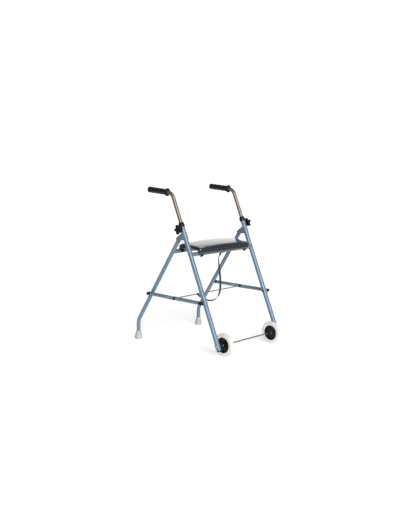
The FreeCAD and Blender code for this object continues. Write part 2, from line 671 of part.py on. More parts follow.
def across_arc(radius, centre, start, end):
    """A slice of a cylinder along X, as wide as a clip, from one angle to another above +Y."""
    width = size("clip_width")
    base = centre - Vector(width / 2, 0, 0)
    slice_ = Part.makeCylinder(radius, width, base, Vector(1, 0, 0), end - start)
    slice_.rotate(base, Vector(1, 0, 0), start - 90)
    return slice_


def flange(front, length, bottom):
    """The flat strip that a hook or clip is screwed to the board by."""
    width, thick = size("clip_width"), size("flange_thick")
    return Part.makeBox(width, length, thick, Vector(-width / 2, front, bottom - thick - 0.1))


def hook_shape(bottom):
    """A J of plastic that hangs from the board and reaches round the front cross tube."""
    centre = FRONT_CROSS - Vector(0, size("hook_forward"), size("hook_drop"))
    inner = size("hook_inner")
    arc = across_arc(inner + size("hook_thick"), centre, 92, 240)
    arc = arc.cut(across_arc(inner, centre, 80, 250))
    return flange(centre.y - 14, 44, bottom).fuse(arc).removeSplitter()


def clip_shape(bottom):
    """A C of plastic under the board that turns on the rear cross tube, open underneath."""
    inner = size("rear_tube_dia") / 2 + size("slip")
    outer, half_opening = inner + 3.1, 55
    arc = across_arc(outer, REAR_CROSS, half_opening - 90, 270 - half_opening)
    above = Part.makeBox(4 * outer, 4 * outer, outer,
                         REAR_CROSS + Vector(-2 * outer, -2 * outer, bottom - 0.1 - REAR_CROSS.z))
    shape = arc.cut(above).fuse(flange(REAR_CROSS.y - 34, 34, bottom))
    bore = Part.makeCylinder(inner, 4 * outer, REAR_CROSS - Vector(2 * outer, 0, 0), Vector(1, 0, 0))
    return shape.cut(bore).removeSplitter()


# ---------------------------------------------------------------- handles, knobs and wheels

def handle(name, side):
    """The bent handle tube, the plug in its lower end and its grip."""
    radius = size("handle_tube_dia") / 2
    low = front_line(size("vertex_z") - size("handle_inside"))
    end = VERTEX + Vector(0, size("handle_reach"), size("handle_lift")) - GRIP_WAY * 5
    shape = bent_tube((low, VERTEX, end), size("handle_bend"), radius, radius - size("tube_wall"))
    plane = Placement(Vector(side * size("leg_plane"), 0, 0), Rotation())
    keep("handle_tube_" + name, placed(shaped(shape), plane))
    plug = turned([("0", "0"), ("8", "0"), ("9.8", "1.5"), ("9.8", "3"), ("8.4", "3.1"),
                   ("8.2", "20"), ("0", "20")], "Plug")
    spot = on_leg(side * size("leg_plane"), along_leg(low.z) - 3.1)
    keep("handle_plug_" + name, placed(plug, spot))
    bore = "Sizes.handle_tube_dia / 2 + Sizes.slip"
    grip = turned([(bore, "0"), ("Sizes.flange_dia / 2 - 1", "0"), ("Sizes.flange_dia / 2", "1.5"),
                   ("Sizes.flange_dia / 2", "3.5"), ("Sizes.grip_dia / 2 + 1", "7"),
                   ("Sizes.grip_dia / 2", "12"), ("Sizes.grip_dia / 2", "Sizes.grip_length - 6"),
                   ("Sizes.grip_dia / 2 - 5", "Sizes.grip_length"), ("0", "Sizes.grip_length"),
                   ("0", "Sizes.grip_length - 4.8"), (bore, "Sizes.grip_length - 4.8")], "Grip")
    start = VERTEX + Vector(0, size("handle_reach"), size("handle_lift"))
    start = start - GRIP_WAY * size("grip_length")
    start.x = side * size("leg_plane")
    keep("grip_" + name, placed(grip, Placement(start, Rotation(Vector(0, 0, 1), GRIP_WAY))))


def knob(name, side):
    """The star knob and the screw moulded into it, which clamps the handle tube."""
    level = on_leg(side * size("leg_plane"), size("knob_at")).Base
    plane, inner = size("leg_plane"), size("knob_inner")
    centre = drum("Sizes.knob_ring - 3", "Sizes.knob_width")
    neck = drum("9", "Sizes.knob_width + 2", Placement(Vector(0, 0, -2), Rotation()))
    lobes = []
    for index in range(5):
        angle = math.radians(72 * index + 22 - 4 * side)
        spot = Vector(math.cos(angle), math.sin(angle), 0) * size("knob_ring")
        lobes.append(drum("Sizes.knob_lobe", "Sizes.knob_width", Placement(spot, Rotation())))
    socket = drum("3.97", "12", Placement(Vector(0, 0, -2), Rotation()))
    star = cut(fuse(centre, neck, *lobes), socket)
    keep("star_knob_" + name, placed(star, outward(side, plane + inner, level)))
    tip = size("handle_tube_dia") / 2 + 0.2
    length = inner - tip + 9.8
    screw = drum("3.95", "%g" % length, outward(side, plane + tip, level))
    keep("knob_screw_" + name, screw)


def wheel(name, side):
    """A solid tyre on a moulded hub that turns on a bush."""
    half = size("wheel_width") / 2
    place = outward(side, size("wheel_plane"), AXLE)
    hub_r = "Sizes.hub_dia / 2"
    tyre = turned([(hub_r, "%g" % -half), ("Sizes.wheel_dia / 2 - 6", "%g" % -half),
                   ("Sizes.wheel_dia / 2 - 2", "%g" % (2.5 - half)),
                   ("Sizes.wheel_dia / 2", "%g" % (7 - half)),
                   ("Sizes.wheel_dia / 2", "%g" % (half - 7)),
                   ("Sizes.wheel_dia / 2 - 2", "%g" % (half - 2.5)),
                   ("Sizes.wheel_dia / 2 - 6", "%g" % half), (hub_r, "%g" % half)], "Tyre")
    keep("tyre_" + name, placed(tyre, place))
    bush_r = "Sizes.axle_dia / 2 + 3"
    rim, web, boss = half - 1, 3, half + 1
    recess = size("hub_recess")
    hub = turned([(bush_r, "%g" % -recess), ("11", "%g" % -recess), ("13.5", "%g" % -web),
                  ("34", "%g" % -web), ("36", "%g" % -rim), ("Sizes.hub_dia / 2 - 0.02", "%g" % -rim),
                  ("Sizes.hub_dia / 2 - 0.02", "%g" % rim), ("36", "%g" % rim), ("34", "%g" % web),
                  ("13.5", "%g" % web), ("12", "%g" % boss), (bush_r, "%g" % boss)], "Hub")
    keep("hub_" + name, placed(hub, place))
    bush = ring("Sizes.axle_dia / 2 + 2.98", "Sizes.axle_dia / 2 + Sizes.slip",
                "%g" % (recess + boss), outward(side, size("wheel_plane") - recess, AXLE))
    keep("wheel_bush_" + name, bush)


# ---------------------------------------------------------------- the whole frame

for side_name, side_sign in SIDES:
    front_leg("front_leg_" + side_name, side_sign)
    hinge_bracket("hinge_bracket_" + side_name, side_sign)
    height_collar("height_collar_" + side_name, side_sign)
    rear_leg("rear_leg_" + side_name, side_sign)
    stay("front_stay_" + side_name, side_sign, STAY_FRONT, 1)
    stay("rear_stay_" + side_name, side_sign, STAY_REAR, -1)
    handle(side_name, side_sign)
    knob(side_name, side_sign)
    wheel(side_name, side_sign)
cross_tube("front_cross_tube", FRONT_CROSS, "front")
cross_tube("rear_cross_tube", REAR_CROSS, "rear")
stay_ends("front_stay_ends", STAY_FRONT, 1)
stay_ends("rear_stay_ends", STAY_REAR, -1)
front_leg_plugs()
clamp_inserts()
axle_parts()
leg_pins()
rear_frame_parts()
rod_parts()
strap_parts()
seat_parts()
doc.recompute()

for item in doc.Objects:
    if "Invalid" in item.State or "Error" in item.State:
        raise RuntimeError("%s (%s) did not compute" % (item.Name, item.Label))
for label, item in parts.items():
    if item.Shape.isNull() or not item.Shape.isValid():
        raise RuntimeError("%s has no valid shape" % label)

os.makedirs("parts", exist_ok=True)
for label, item in parts.items():
    item.Shape.exportStep("parts/%s.step" % label)
print("%d nodes written" % len(parts))
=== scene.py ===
"""The looks of a folding walking frame with a seat, laid out as an add-on and run as a script."""

import json
import math

import bmesh
import bpy
from mathutils import Matrix, Vector, noise
from mathutils.bvhtree import BVHTree


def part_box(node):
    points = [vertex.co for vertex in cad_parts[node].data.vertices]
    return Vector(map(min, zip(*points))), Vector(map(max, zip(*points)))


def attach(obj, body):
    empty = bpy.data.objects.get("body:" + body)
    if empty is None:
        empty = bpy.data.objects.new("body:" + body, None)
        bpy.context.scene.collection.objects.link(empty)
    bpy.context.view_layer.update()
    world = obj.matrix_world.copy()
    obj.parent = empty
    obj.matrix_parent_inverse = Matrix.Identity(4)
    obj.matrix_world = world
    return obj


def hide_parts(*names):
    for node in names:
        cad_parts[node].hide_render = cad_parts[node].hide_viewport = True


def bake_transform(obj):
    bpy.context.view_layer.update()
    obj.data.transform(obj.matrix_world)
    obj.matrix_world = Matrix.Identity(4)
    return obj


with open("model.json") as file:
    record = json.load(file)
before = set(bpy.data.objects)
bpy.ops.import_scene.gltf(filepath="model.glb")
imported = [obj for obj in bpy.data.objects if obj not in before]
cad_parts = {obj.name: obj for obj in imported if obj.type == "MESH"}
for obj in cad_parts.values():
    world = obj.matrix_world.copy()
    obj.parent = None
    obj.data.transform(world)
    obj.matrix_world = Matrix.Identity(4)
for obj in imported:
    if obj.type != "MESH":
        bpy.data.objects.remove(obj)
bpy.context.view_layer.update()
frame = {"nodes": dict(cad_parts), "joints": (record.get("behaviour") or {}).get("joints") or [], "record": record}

bl_info = {
    "name": "Folding walking frame",
    "version": (1, 0, 0),
    "blender": (4, 5, 0),
    "location": "View3D > Sidebar > Walking frame",
    "description": "Builds the finished pieces of a folding walking frame round its packed model",
    "category": "Object",
}

JOINTS = {joint["name"]: joint for joint in frame["joints"]}
SLOTS = {row["node"]: row["material_slot"] for row in frame["record"]["subparts"]}
SIDES = (("left", 1), ("right", -1))
X_WAY = Vector((1, 0, 0))


# ---------------------------------------------------------------- places taken from the frame

def middle(node):
    """The middle of a node's box."""
    low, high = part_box(node)
    return (low + high) / 2


def pivot(joint):
    """A point on a joint's axis."""
    return Vector(JOINTS[joint]["pos_m"])


AXLE = pivot("wheel_spin_left")
HINGE = pivot("fold")
KNOB = pivot("knob_turn_left")
LEG_WAY = Vector(JOINTS["handle_slide_left"]["axis"]).normalized()
LEG_PLANE = middle("rear_leg_left").x
WHEEL_PLANE = middle("tyre_left").x
REAR_WAY = (HINGE - Vector((0, *middle("stay_anchor_inserts").yz))).normalized()
FRONT_CROSS = Vector((0, *middle("front_cross_tube").yz))
REAR_CROSS = Vector((0, *middle("rear_cross_tube").yz))
CROSS_ROD = Vector((0, *middle("cross_rod").yz))


def mm(value):
    """Millimetres as metres."""
    return value / 1000


def linear(hex_colour):
    """An sRGB hex colour as linear red, green, blue and alpha."""
    shares = [int(hex_colour[i:i + 2], 16) / 255 for i in (1, 3, 5)]
    return tuple(s / 12.92 if s <= 0.04045 else ((s + 0.055) / 1.055) ** 2.4 for s in shares) + (1,)


# ---------------------------------------------------------------- what a user may change

def colour(label, text, hex_colour):
    """A colour property."""
    return bpy.props.FloatVectorProperty(name=label, description=text, subtype="COLOR", size=4,
                                         min=0, max=1, default=linear(hex_colour))


def length(label, text, millimetres):
    """A length property."""
    return bpy.props.FloatProperty(name=label, description=text, unit="LENGTH", min=0,
                                   default=mm(millimetres), precision=5)


class FrameColours(bpy.types.PropertyGroup):
    paint: colour("Paint", "Powder coat on the legs, cross tubes, brackets and stays", "#647c91")
    champagne: colour("Handle tubes", "Anodised handle tubes", "#80766d")
    grip: colour("Grips", "Moulded rubber of the grips", "#1c1515")
    nylon: colour("Fittings", "Moulded collars, knobs, hooks, caps and plugs", "#0c0b0c")
    vinyl: colour("Seat cover", "Vinyl over the padded seat", "#0d1926")
    zinc: colour("Steel", "Zinc-plated axle, rod, pins and screws", "#9a9da2")
    tyre: colour("Tyres", "Solid off-white tyres", "#ddd8d4")
    hub: colour("Hubs", "Moulded wheel hubs", "#050607")
    ferrule: colour("Rear feet", "Grey rubber ferrules", "#a9acac")
    webbing: colour("Pull strap", "Woven webbing", "#111114")
    thread: colour("Thread", "Sewing thread of the pull strap", "#26262a")
    plywood: colour("Seat board", "Varnished birch plywood", "#c79a64")
    brass: colour("Inserts", "Turned brass inserts", "#c6a45a")
    acetal: colour("Bushes", "Acetal bearing bushes and washers", "#e4e2dc")


class FrameSizes(bpy.types.PropertyGroup):
    weld: length("Weld", "Radius of a weld bead", 1.7)
    strap_width: length("Strap width", "Width of the pull strap's webbing", 11)
    strap_thick: length("Strap thickness", "Thickness of the pull strap's webbing", 1.7)
    voxel: length("Seat mesh", "Grid that the seat cover is remeshed on", 4.5)
    swell: length("Seat swell", "Furthest that the cover may move as it fills", 6)
    edge: length("Edges", "Rounding of moulded edges", 0.7)


def place_or_way(label, text, default, unit="LENGTH"):
    """A property for a place or a direction."""
    return bpy.props.FloatVectorProperty(name=label, description=text, subtype="XYZ", unit=unit,
                                         default=default)


class StageSettings(bpy.types.PropertyGroup):
    camera: place_or_way("Camera", "Where the camera stands", (-3.3181, -2.9956, 1.1288))
    target: place_or_way("Target", "What the camera looks at", (0.0442, 0.0473, 0.4274))
    lens: bpy.props.FloatProperty(
        name="Lens", description="Focal length on a 36 mm sensor", unit="CAMERA", default=55.54)
    roll: bpy.props.FloatProperty(
        name="Roll", description="Turn of the camera about its line of sight", subtype="ANGLE",
        default=math.radians(0.76))
    key: bpy.props.FloatProperty(
        name="Key light", description="Strength of the broad sun", min=0, default=3.2)
    sky: bpy.props.FloatProperty(
        name="Surroundings", description="Strength of the pale room", min=0, default=1.0)
    backdrop: place_or_way("Backdrop", "The way to the middle of the white backdrop",
                           (0.74, 0.665, -0.1), "NONE")
    sun: place_or_way("Sun", "The way to the middle of the broad sun", (-0.41, -0.79, 0.46), "NONE")


# ---------------------------------------------------------------- materials

def add(tree, kind, inputs=None, **settings):
    """Add a node, set its properties, and set or link its inputs."""
    node = tree.nodes.new(kind)
    for name, value in settings.items():
        setattr(node, name, value)
    for name, value in (inputs or {}).items():
        if isinstance(value, bpy.types.NodeSocket):
            tree.links.new(value, node.inputs[name])
        else:
            node.inputs[name].default_value = value
    return node


def per(millimetres):
    """The scale at which a pattern's features are this large."""
    return 1000 / millimetres


def surface(name, base, roughness, **sockets):
    """A new material with a Principled shader, its node tree and that shader."""
    made = bpy.data.materials.new(name)
    made.use_nodes = True
    tree = made.node_tree
    tree.nodes.clear()
    shader = add(tree, "ShaderNodeBsdfPrincipled",
                 {"Base Color": base, "Roughness": roughness,
                  **{key.replace("_", " "): value for key, value in sockets.items()}})
    add(tree, "ShaderNodeOutputMaterial", {"Surface": shader.outputs["BSDF"]})
    return made, tree, shader


def tinted(tree, shader, base, pattern, shares, spots=(0, 1)):
    """Colour the surface between a darker and a lighter share of the base, by a pattern."""
    ramp = add(tree, "ShaderNodeValToRGB", {"Fac": pattern})
    for element, share, spot in zip(ramp.color_ramp.elements, shares, spots):
        element.position = spot
        element.color = (*[min(1, channel * share) for channel in base[:3]], 1)
    tree.links.new(ramp.outputs["Color"], shader.inputs["Base Color"])


def object_noise(tree, size, stretch=None, **inputs):
    """Noise in the object's own coordinates, with features of a size in millimetres."""
    place = add(tree, "ShaderNodeTexCoord").outputs["Object"]
    if stretch:
        place = add(tree, "ShaderNodeMapping", {"Vector": place, "Scale": stretch}).outputs[0]
    return add(tree, "ShaderNodeTexNoise", {"Vector": place, "Scale": per(size), **inputs})


def shades(tree, shader, base, size, dark, light):
    """Vary the colour in soft patches, and return their pattern."""
    patches = object_noise(tree, size, Detail=4.0, Roughness=0.55).outputs["Fac"]
    tinted(tree, shader, base, patches, (dark, light), (0.32, 0.68))
    return patches


def relief(tree, shader, height, depth, strength=1.0):
    """Raise the surface where a pattern is bright, by a depth in millimetres."""
    bump = add(tree, "ShaderNodeBump", {"Height": height, "Distance": mm(depth),
                                        "Strength": strength})
    tree.links.new(bump.outputs["Normal"], shader.inputs["Normal"])


def gloss(tree, shader, pattern, smooth, rough):
    """Vary the roughness with a pattern."""
    spread = add(tree, "ShaderNodeMapRange", {"Value": pattern, "To Min": smooth, "To Max": rough})
    tree.links.new(spread.outputs["Result"], shader.inputs["Roughness"])


def powder_coated_aluminium(base):
    # Polyester powder over tube: an even satin colour with a faint orange peel about 2 mm across.
    made, tree, shader = surface("powder_coated_aluminium", base, 0.3, Metallic=0.15)
    patches = shades(tree, shader, base, 60, 0.93, 1.05)
    peel = object_noise(tree, 2.2, Detail=2.0)
    relief(tree, shader, peel.outputs["Fac"], 0.05, 0.5)
    gloss(tree, shader, patches, 0.27, 0.4)
    return made


def satin_anodised_aluminium(base):
    # Brushed along the tube and anodised champagne: fine lines that stretch the highlight.
    made, tree, shader = surface("satin_anodised_aluminium", base, 0.45, Metallic=0.8)
    shades(tree, shader, base, 45, 0.94, 1.05)
    lines = object_noise(tree, 0.7, (1, 0.12, 0.06), Detail=3.0)
    relief(tree, shader, lines.outputs["Fac"], 0.02, 0.35)
    gloss(tree, shader, lines.outputs["Fac"], 0.4, 0.52)
    return made


def moulded_rubber(name, base, rough, grain):
    # Moulded thermoplastic rubber: soft dull sheen, and a fine spark-eroded texture from the mould.
    made, tree, shader = surface(name, base, rough, Specular_IOR_Level=0.3)
    patches = shades(tree, shader, base, 24, 0.86, 1.14)
    pores = object_noise(tree, grain, Detail=3.0)
    relief(tree, shader, pores.outputs["Fac"], 0.09, 0.55)
    gloss(tree, shader, patches, rough - 0.07, rough + 0.08)
    return made


def moulded_nylon(name, base, rough):
    # Glass-filled nylon: half gloss, with slight flow marks and a light grain under a millimetre.
    made, tree, shader = surface(name, base, rough, Specular_IOR_Level=0.28)
    patches = shades(tree, shader, base, 18, 0.8, 1.25)
    place = add(tree, "ShaderNodeTexCoord").outputs["Object"]
    grain = add(tree, "ShaderNodeTexVoronoi", {"Vector": place, "Scale": per(0.8)})
    relief(tree, shader, grain.outputs["Distance"], 0.04, 0.4)
    gloss(tree, shader, patches, rough - 0.06, rough + 0.08)
    return made


def plated_steel(name, base, rough):
    # Drawn or turned metal with a bright finish: fine rings round the bar and faint clouding.
    made, tree, shader = surface(name, base, rough, Metallic=1.0)
    clouds = shades(tree, shader, base, 9, 0.88, 1.06)
    rings = object_noise(tree, 0.6, (1, 0.08, 0.08), Detail=2.0)
    relief(tree, shader, rings.outputs["Fac"], 0.015, 0.4)
    gloss(tree, shader, clouds, rough - 0.06, rough + 0.1)
    return made


def calendered_vinyl(base):
    # Foam-backed vinyl with a fine leather print: pebbles about 1.3 mm across under a clear gloss.
    made, tree, shader = surface("calendered_vinyl", base, 0.2, Coat_Weight=1.0,
                                 Coat_Roughness=0.1)
    patches = shades(tree, shader, base, 70, 0.85, 1.15)
    place = add(tree, "ShaderNodeTexCoord").outputs["Object"]
    bent = object_noise(tree, 5, Detail=2.0)
    shift = add(tree, "ShaderNodeVectorMath", {0: bent.outputs["Color"], "Scale": mm(0.9)},
                operation="SCALE")
    moved = add(tree, "ShaderNodeVectorMath", {0: place, 1: shift.outputs[0]}, operation="ADD")
    pebbles = add(tree, "ShaderNodeTexVoronoi", {"Vector": moved.outputs[0], "Scale": per(1.3)},
                  feature="SMOOTH_F1")
    relief(tree, shader, pebbles.outputs["Distance"], -0.1, 0.4)
    gloss(tree, shader, patches, 0.18, 0.28)
    return made


def birch_plywood(base):
    # Rotary-cut birch under clear varnish: long pale grain along the board with darker latewood.
    made, tree, shader = surface("birch_plywood", base, 0.42, Coat_Weight=0.25, Coat_Roughness=0.2)
    grain = object_noise(tree, 7, (0.12, 1, 1), Detail=6.0, Distortion=0.6).outputs["Fac"]
    tinted(tree, shader, base, grain, (0.62, 1.1), (0.35, 0.62))
    relief(tree, shader, grain, 0.06, 0.5)
    return made


def solid_tyre(base):
    # Solid thermoplastic tyre: chalky off-white with faint cloudy patches and a fine grain.
    made, tree, shader = surface("solid_tyre", base, 0.55, Subsurface_Weight=0.08,
                                 Subsurface_Radius=(0.004, 0.003, 0.002))
    patches = shades(tree, shader, base, 26, 0.93, 1.03)
    grain = object_noise(tree, 1.1, Detail=4.0)
    relief(tree, shader, grain.outputs["Fac"], 0.08, 0.5)
    gloss(tree, shader, patches, 0.46, 0.62)
    return made


def woven_webbing(base):
    # Polypropylene webbing: a tight plain weave of shiny yarns about 1.2 mm wide, drawn as the
    # crossing of two waves that run along and across the strip, as bumps and as colour: painted
    # shade in the gaps between the yarns and a painted sheen on their crowns.
    made, tree, shader = surface("woven_webbing", base, 0.5, Sheen_Weight=0.35,
                                 Sheen_Roughness=0.4)
    strip = add(tree, "ShaderNodeUVMap", uv_map="Strip").outputs["UV"]
    spots = add(tree, "ShaderNodeSeparateXYZ", {"Vector": strip})
    yarns = []
    for axis, turn in (("X", 0.0), ("Y", math.pi / 2)):
        swing = add(tree, "ShaderNodeMath", {0: spots.outputs[axis], 1: 2 * math.pi / mm(1.2)},
                    operation="MULTIPLY")
        late = add(tree, "ShaderNodeMath", {0: swing.outputs[0], 1: turn}, operation="ADD")
        yarns.append(add(tree, "ShaderNodeMath", {0: late.outputs[0]}, operation="SINE"))
    weave = add(tree, "ShaderNodeMath", {0: yarns[0].outputs[0], 1: yarns[1].outputs[0]},
                operation="MULTIPLY")
    relief(tree, shader, weave.outputs[0], 0.22, 0.8)
    # Colour follows the weave's height: painted shade darkens the gaps between yarns and a painted sheen lightens
    # their crowns.
    weave_shade_and_sheen = add(tree, "ShaderNodeMapRange", {"Value": weave.outputs[0], "From Min": -1.0})
    tinted(tree, shader, base, weave_shade_and_sheen.outputs["Result"], (0.45, 1.8))
    return made


def sewing_thread(base):
    # Bonded polyester thread: smooth, slightly shiny and a shade paler than the webbing.
    made, tree, shader = surface("bonded_thread", base, 0.4, Sheen_Weight=0.2)
    shades(tree, shader, base, 2, 0.8, 1.2)
    return made


def finishes():
    """The material for each of the record's material slots, and for the thread."""
    tints = bpy.context.scene.frame_colours
    return {
        "blue_paint": powder_coated_aluminium(tints.paint[:]),
        "champagne_anodised": satin_anodised_aluminium(tints.champagne[:]),
        "black_grip": moulded_rubber("moulded_grip_rubber", tints.grip[:], 0.46, 0.9),
        "black_plastic": moulded_nylon("moulded_nylon", tints.nylon[:], 0.34),
        "zinc_steel": plated_steel("zinc_plated_steel", tints.zinc[:], 0.3),
        "tyre_cream": solid_tyre(tints.tyre[:]),
        "hub_black": moulded_nylon("moulded_polypropylene", tints.hub[:], 0.42),
        "ferrule_grey": moulded_rubber("moulded_ferrule_rubber", tints.ferrule[:], 0.62, 1.2),
        "navy_vinyl": calendered_vinyl(tints.vinyl[:]),
        "plywood": birch_plywood(tints.plywood[:]),
        "webbing_black": woven_webbing(tints.webbing[:]),
        "thread": sewing_thread(tints.thread[:]),
        "brass": plated_steel("turned_brass", tints.brass[:], 0.32),
        "bush_white": moulded_nylon("machined_acetal", tints.acetal[:], 0.4),
    }


# ---------------------------------------------------------------- ways of making a piece

def rounded(outline, reach, closed=False, steps=4):
    """The outline, in metres, with each corner drawn as a short curve."""
    spots = [Vector(spot) for spot in outline]
    made = []
    for index, corner in enumerate(spots):
        if not closed and index in (0, len(spots) - 1):
            made.append(corner)
            continue
        before = spots[index - 1] - corner
        after = spots[(index + 1) % len(spots)] - corner
        near = min(reach, 0.4 * before.length, 0.4 * after.length)
        enter = corner + before.normalized() * near
        leave = corner + after.normalized() * near
        for step in range(steps + 1):
            share = step / steps
            made.append(enter.lerp(corner, share).lerp(corner.lerp(leave, share), share))
    return made


def bridge(mesh, rings, closed=False):
    """Faces between rings of vertices; a ring of one vertex is a pole."""
    pairs = list(zip(rings, rings[1:]))
    if closed:
        pairs.append((rings[-1], rings[0]))
    for one, other in pairs:
        count = max(len(one), len(other))
        for k in range(count):
            corners = [one[k % len(one)], one[(k + 1) % len(one)],
                       other[(k + 1) % len(other)], other[k % len(other)]]
            corners = list(dict.fromkeys(corners))
            if len(corners) > 2:
                mesh.faces.new(corners)


def lathe(mesh, outline, place, steps=64, closed=False):
    """Turn an outline of radius and height about local Z, and put it in place."""
    rings = []
    for radius, height in outline:
        if radius < mm(0.001):
            rings.append([mesh.verts.new(place @ Vector((0, 0, height)))])
            continue
        turns = [2 * math.pi * k / steps for k in range(steps)]
        rings.append([mesh.verts.new(place @ Vector((radius * math.cos(a), radius * math.sin(a),
                                                     height))) for a in turns])
    bridge(mesh, rings, closed)


def turned(mesh, outline, edge, place, steps):
    """Turn a closed outline with its corners rounded."""
    lathe(mesh, rounded(outline, edge, closed=True, steps=3), place, steps, closed=True)


def pointing(way, spot):
    """A place whose local Z points along a way."""
    return Matrix.Translation(spot) @ Vector(way).to_track_quat("Z", "Y").to_matrix().to_4x4()


def in_mm(*pairs):
    """An outline written in millimetres, as metres."""
    return [tuple(mm(value) for value in pair) for pair in pairs]


def tube_along(mesh, points, radius, around=8, closed=False):
    """A round bead or thread along points; its radius may be a function of the share of the way."""
    rings = []
    count = len(points)
    for index, spot in enumerate(points):
        before = points[index - 1] if closed or index else spot
        after = points[(index + 1) % count] if closed or index < count - 1 else spot
        turn = (after - before).to_track_quat("Z", "X")
        size = radius(index / count) if callable(radius) else radius
        rings.append([mesh.verts.new(spot + turn @ (Vector((math.cos(a), math.sin(a), 0)) * size))
                      for a in (2 * math.pi * k / around for k in range(around))])
    if not closed:
        rings = [[mesh.verts.new(points[0])], *rings, [mesh.verts.new(points[-1])]]
    bridge(mesh, rings, closed)


def finish_piece(name, mesh, body, slot, replaces=(), crease=40, ride=True):
    """Turn mesh data into a shown piece on a body, in the finish of a material slot."""
    bmesh.ops.remove_doubles(mesh, verts=mesh.verts, dist=mm(0.001))
    bmesh.ops.recalc_face_normals(mesh, faces=mesh.faces)
    data = bpy.data.meshes.new(name)
    mesh.to_mesh(data)
    mesh.free()
    data.shade_smooth()
    data.set_sharp_from_angle(angle=math.radians(crease))
    made = bpy.data.objects.new(name, data)
    bpy.context.scene.collection.objects.link(made)
    data.materials.append(FINISHES[slot])
    if ride:
        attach(made, body)
    if replaces:
        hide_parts(*replaces)
    return made


# ---------------------------------------------------------------- tubes and other carried pieces

def dress_nodes():
    """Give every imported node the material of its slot."""
    for node, shown in frame["nodes"].items():
        shown.data.materials.clear()
        shown.data.materials.append(FINISHES[SLOTS[node]])


def ripples(bead, count):
    """A weld bead's radius at a share of its length, with a number of ripples."""
    depth = 0.14
    return lambda share: bead * (1 + depth * math.sin(share * 2 * count * math.pi))


def saddle_weld(mesh, centre, radius, side, neighbour_way, neighbour_radius, bead):
    """The bead where a cross tube's shaped end meets the side of a leg tube."""
    normal = neighbour_way.cross(X_WAY).normalized()
    steps, proud = 72, 0.4 * bead
    points = []
    for k in range(steps):
        angle = 2 * math.pi * k / steps
        offset = Vector((0, math.cos(angle), math.sin(angle))) * (radius + proud)
        miss = offset.dot(normal)
        reach = LEG_PLANE - math.sqrt(max(0, neighbour_radius ** 2 - miss ** 2))
        points.append(centre + offset + X_WAY * side * reach)
    tube_along(mesh, points, ripples(bead, 22), closed=True)


def bracket_weld(mesh, spot, way, radius, bead):
    """The bead along an edge of the hinge bracket, round the front of the leg."""
    across = way.cross(X_WAY).normalized()
    steps = 40
    points = []
    for k in range(steps + 1):
        angle = math.pi * k / steps
        points.append(spot + X_WAY * math.cos(angle) * radius + across * math.sin(angle) * radius)
    tube_along(mesh, points, ripples(bead, 15))


def add_welds(sizes):
    """Weld beads at both cross tubes and at the hinge brackets."""
    front_low, front_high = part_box("front_cross_tube")
    front_radius = (front_high.z - front_low.z) / 2
    leg_radius, rear_radius = mm(12.5), mm(11)
    bracket_radius, bracket_bead, half_bracket = mm(13.4), mm(1.2), mm(19)
    to_pivot = (HINGE - AXLE).dot(LEG_WAY)
    for name, side in SIDES:
        mesh = bmesh.new()
        saddle_weld(mesh, FRONT_CROSS, front_radius, side, LEG_WAY, leg_radius, sizes.weld)
        for edge in (-half_bracket, half_bracket):
            spot = AXLE + LEG_WAY * (to_pivot + edge) + X_WAY * side * LEG_PLANE
            bracket_weld(mesh, spot, LEG_WAY, bracket_radius, bracket_bead)
        finish_piece("front_weld_" + name, mesh, "front_frame", "blue_paint", crease=80)
        mesh = bmesh.new()
        saddle_weld(mesh, REAR_CROSS, rear_radius, side, REAR_WAY, rear_radius, sizes.weld)
        finish_piece("rear_weld_" + name, mesh, "rear_frame", "blue_paint", crease=80)


# ---------------------------------------------------------------- grips, collars and knobs

def add_grips():
    """Moulded grips with a flange, a waist, finger waves, fine rings and a domed end."""
    handle_rise, handle_run = 9.5, 174.1
    slope = math.atan2(handle_rise, handle_run)
    way = Vector((0, math.cos(slope), math.sin(slope)))
    flange, barrel, barrel_start, barrel_long = mm(21.5), mm(15.7), mm(16.5), mm(118)
    waves, wave_depth, rings, ring_depth, count = 4, mm(0.6), 32, mm(0.22), 96
    for name, side in SIDES:
        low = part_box("grip_" + name)[0]
        start = Vector((side * LEG_PLANE, low.y + flange * math.sin(slope),
                        low.z + flange * math.cos(slope)))
        outline = in_mm((10.1, 0), (20.2, 0), (21.5, 1.6), (21.5, 3.6), (20, 5), (16, 7.4),
                        (14.2, 10), (14.2, 13), (15.8, 15.5))
        for k in range(count + 1):
            share = k / count
            wave = wave_depth * math.cos(share * waves * 2 * math.pi) * math.sin(share * math.pi)
            ring = ring_depth * math.cos(share * rings * 2 * math.pi)
            outline.append((barrel + wave + ring, barrel_start + barrel_long * share))
        outline += in_mm((16.4, 136), (16.4, 139), (14.8, 141.2), (10.5, 141.9), (3, 142),
                         (2.4, 140.8), (0, 140.6))
        mesh = bmesh.new()
        lathe(mesh, outline, pointing(way, start), 72)
        finish_piece("grip_rubber_" + name, mesh, "handle_" + name, "black_grip", ["grip_" + name],
                     crease=50)


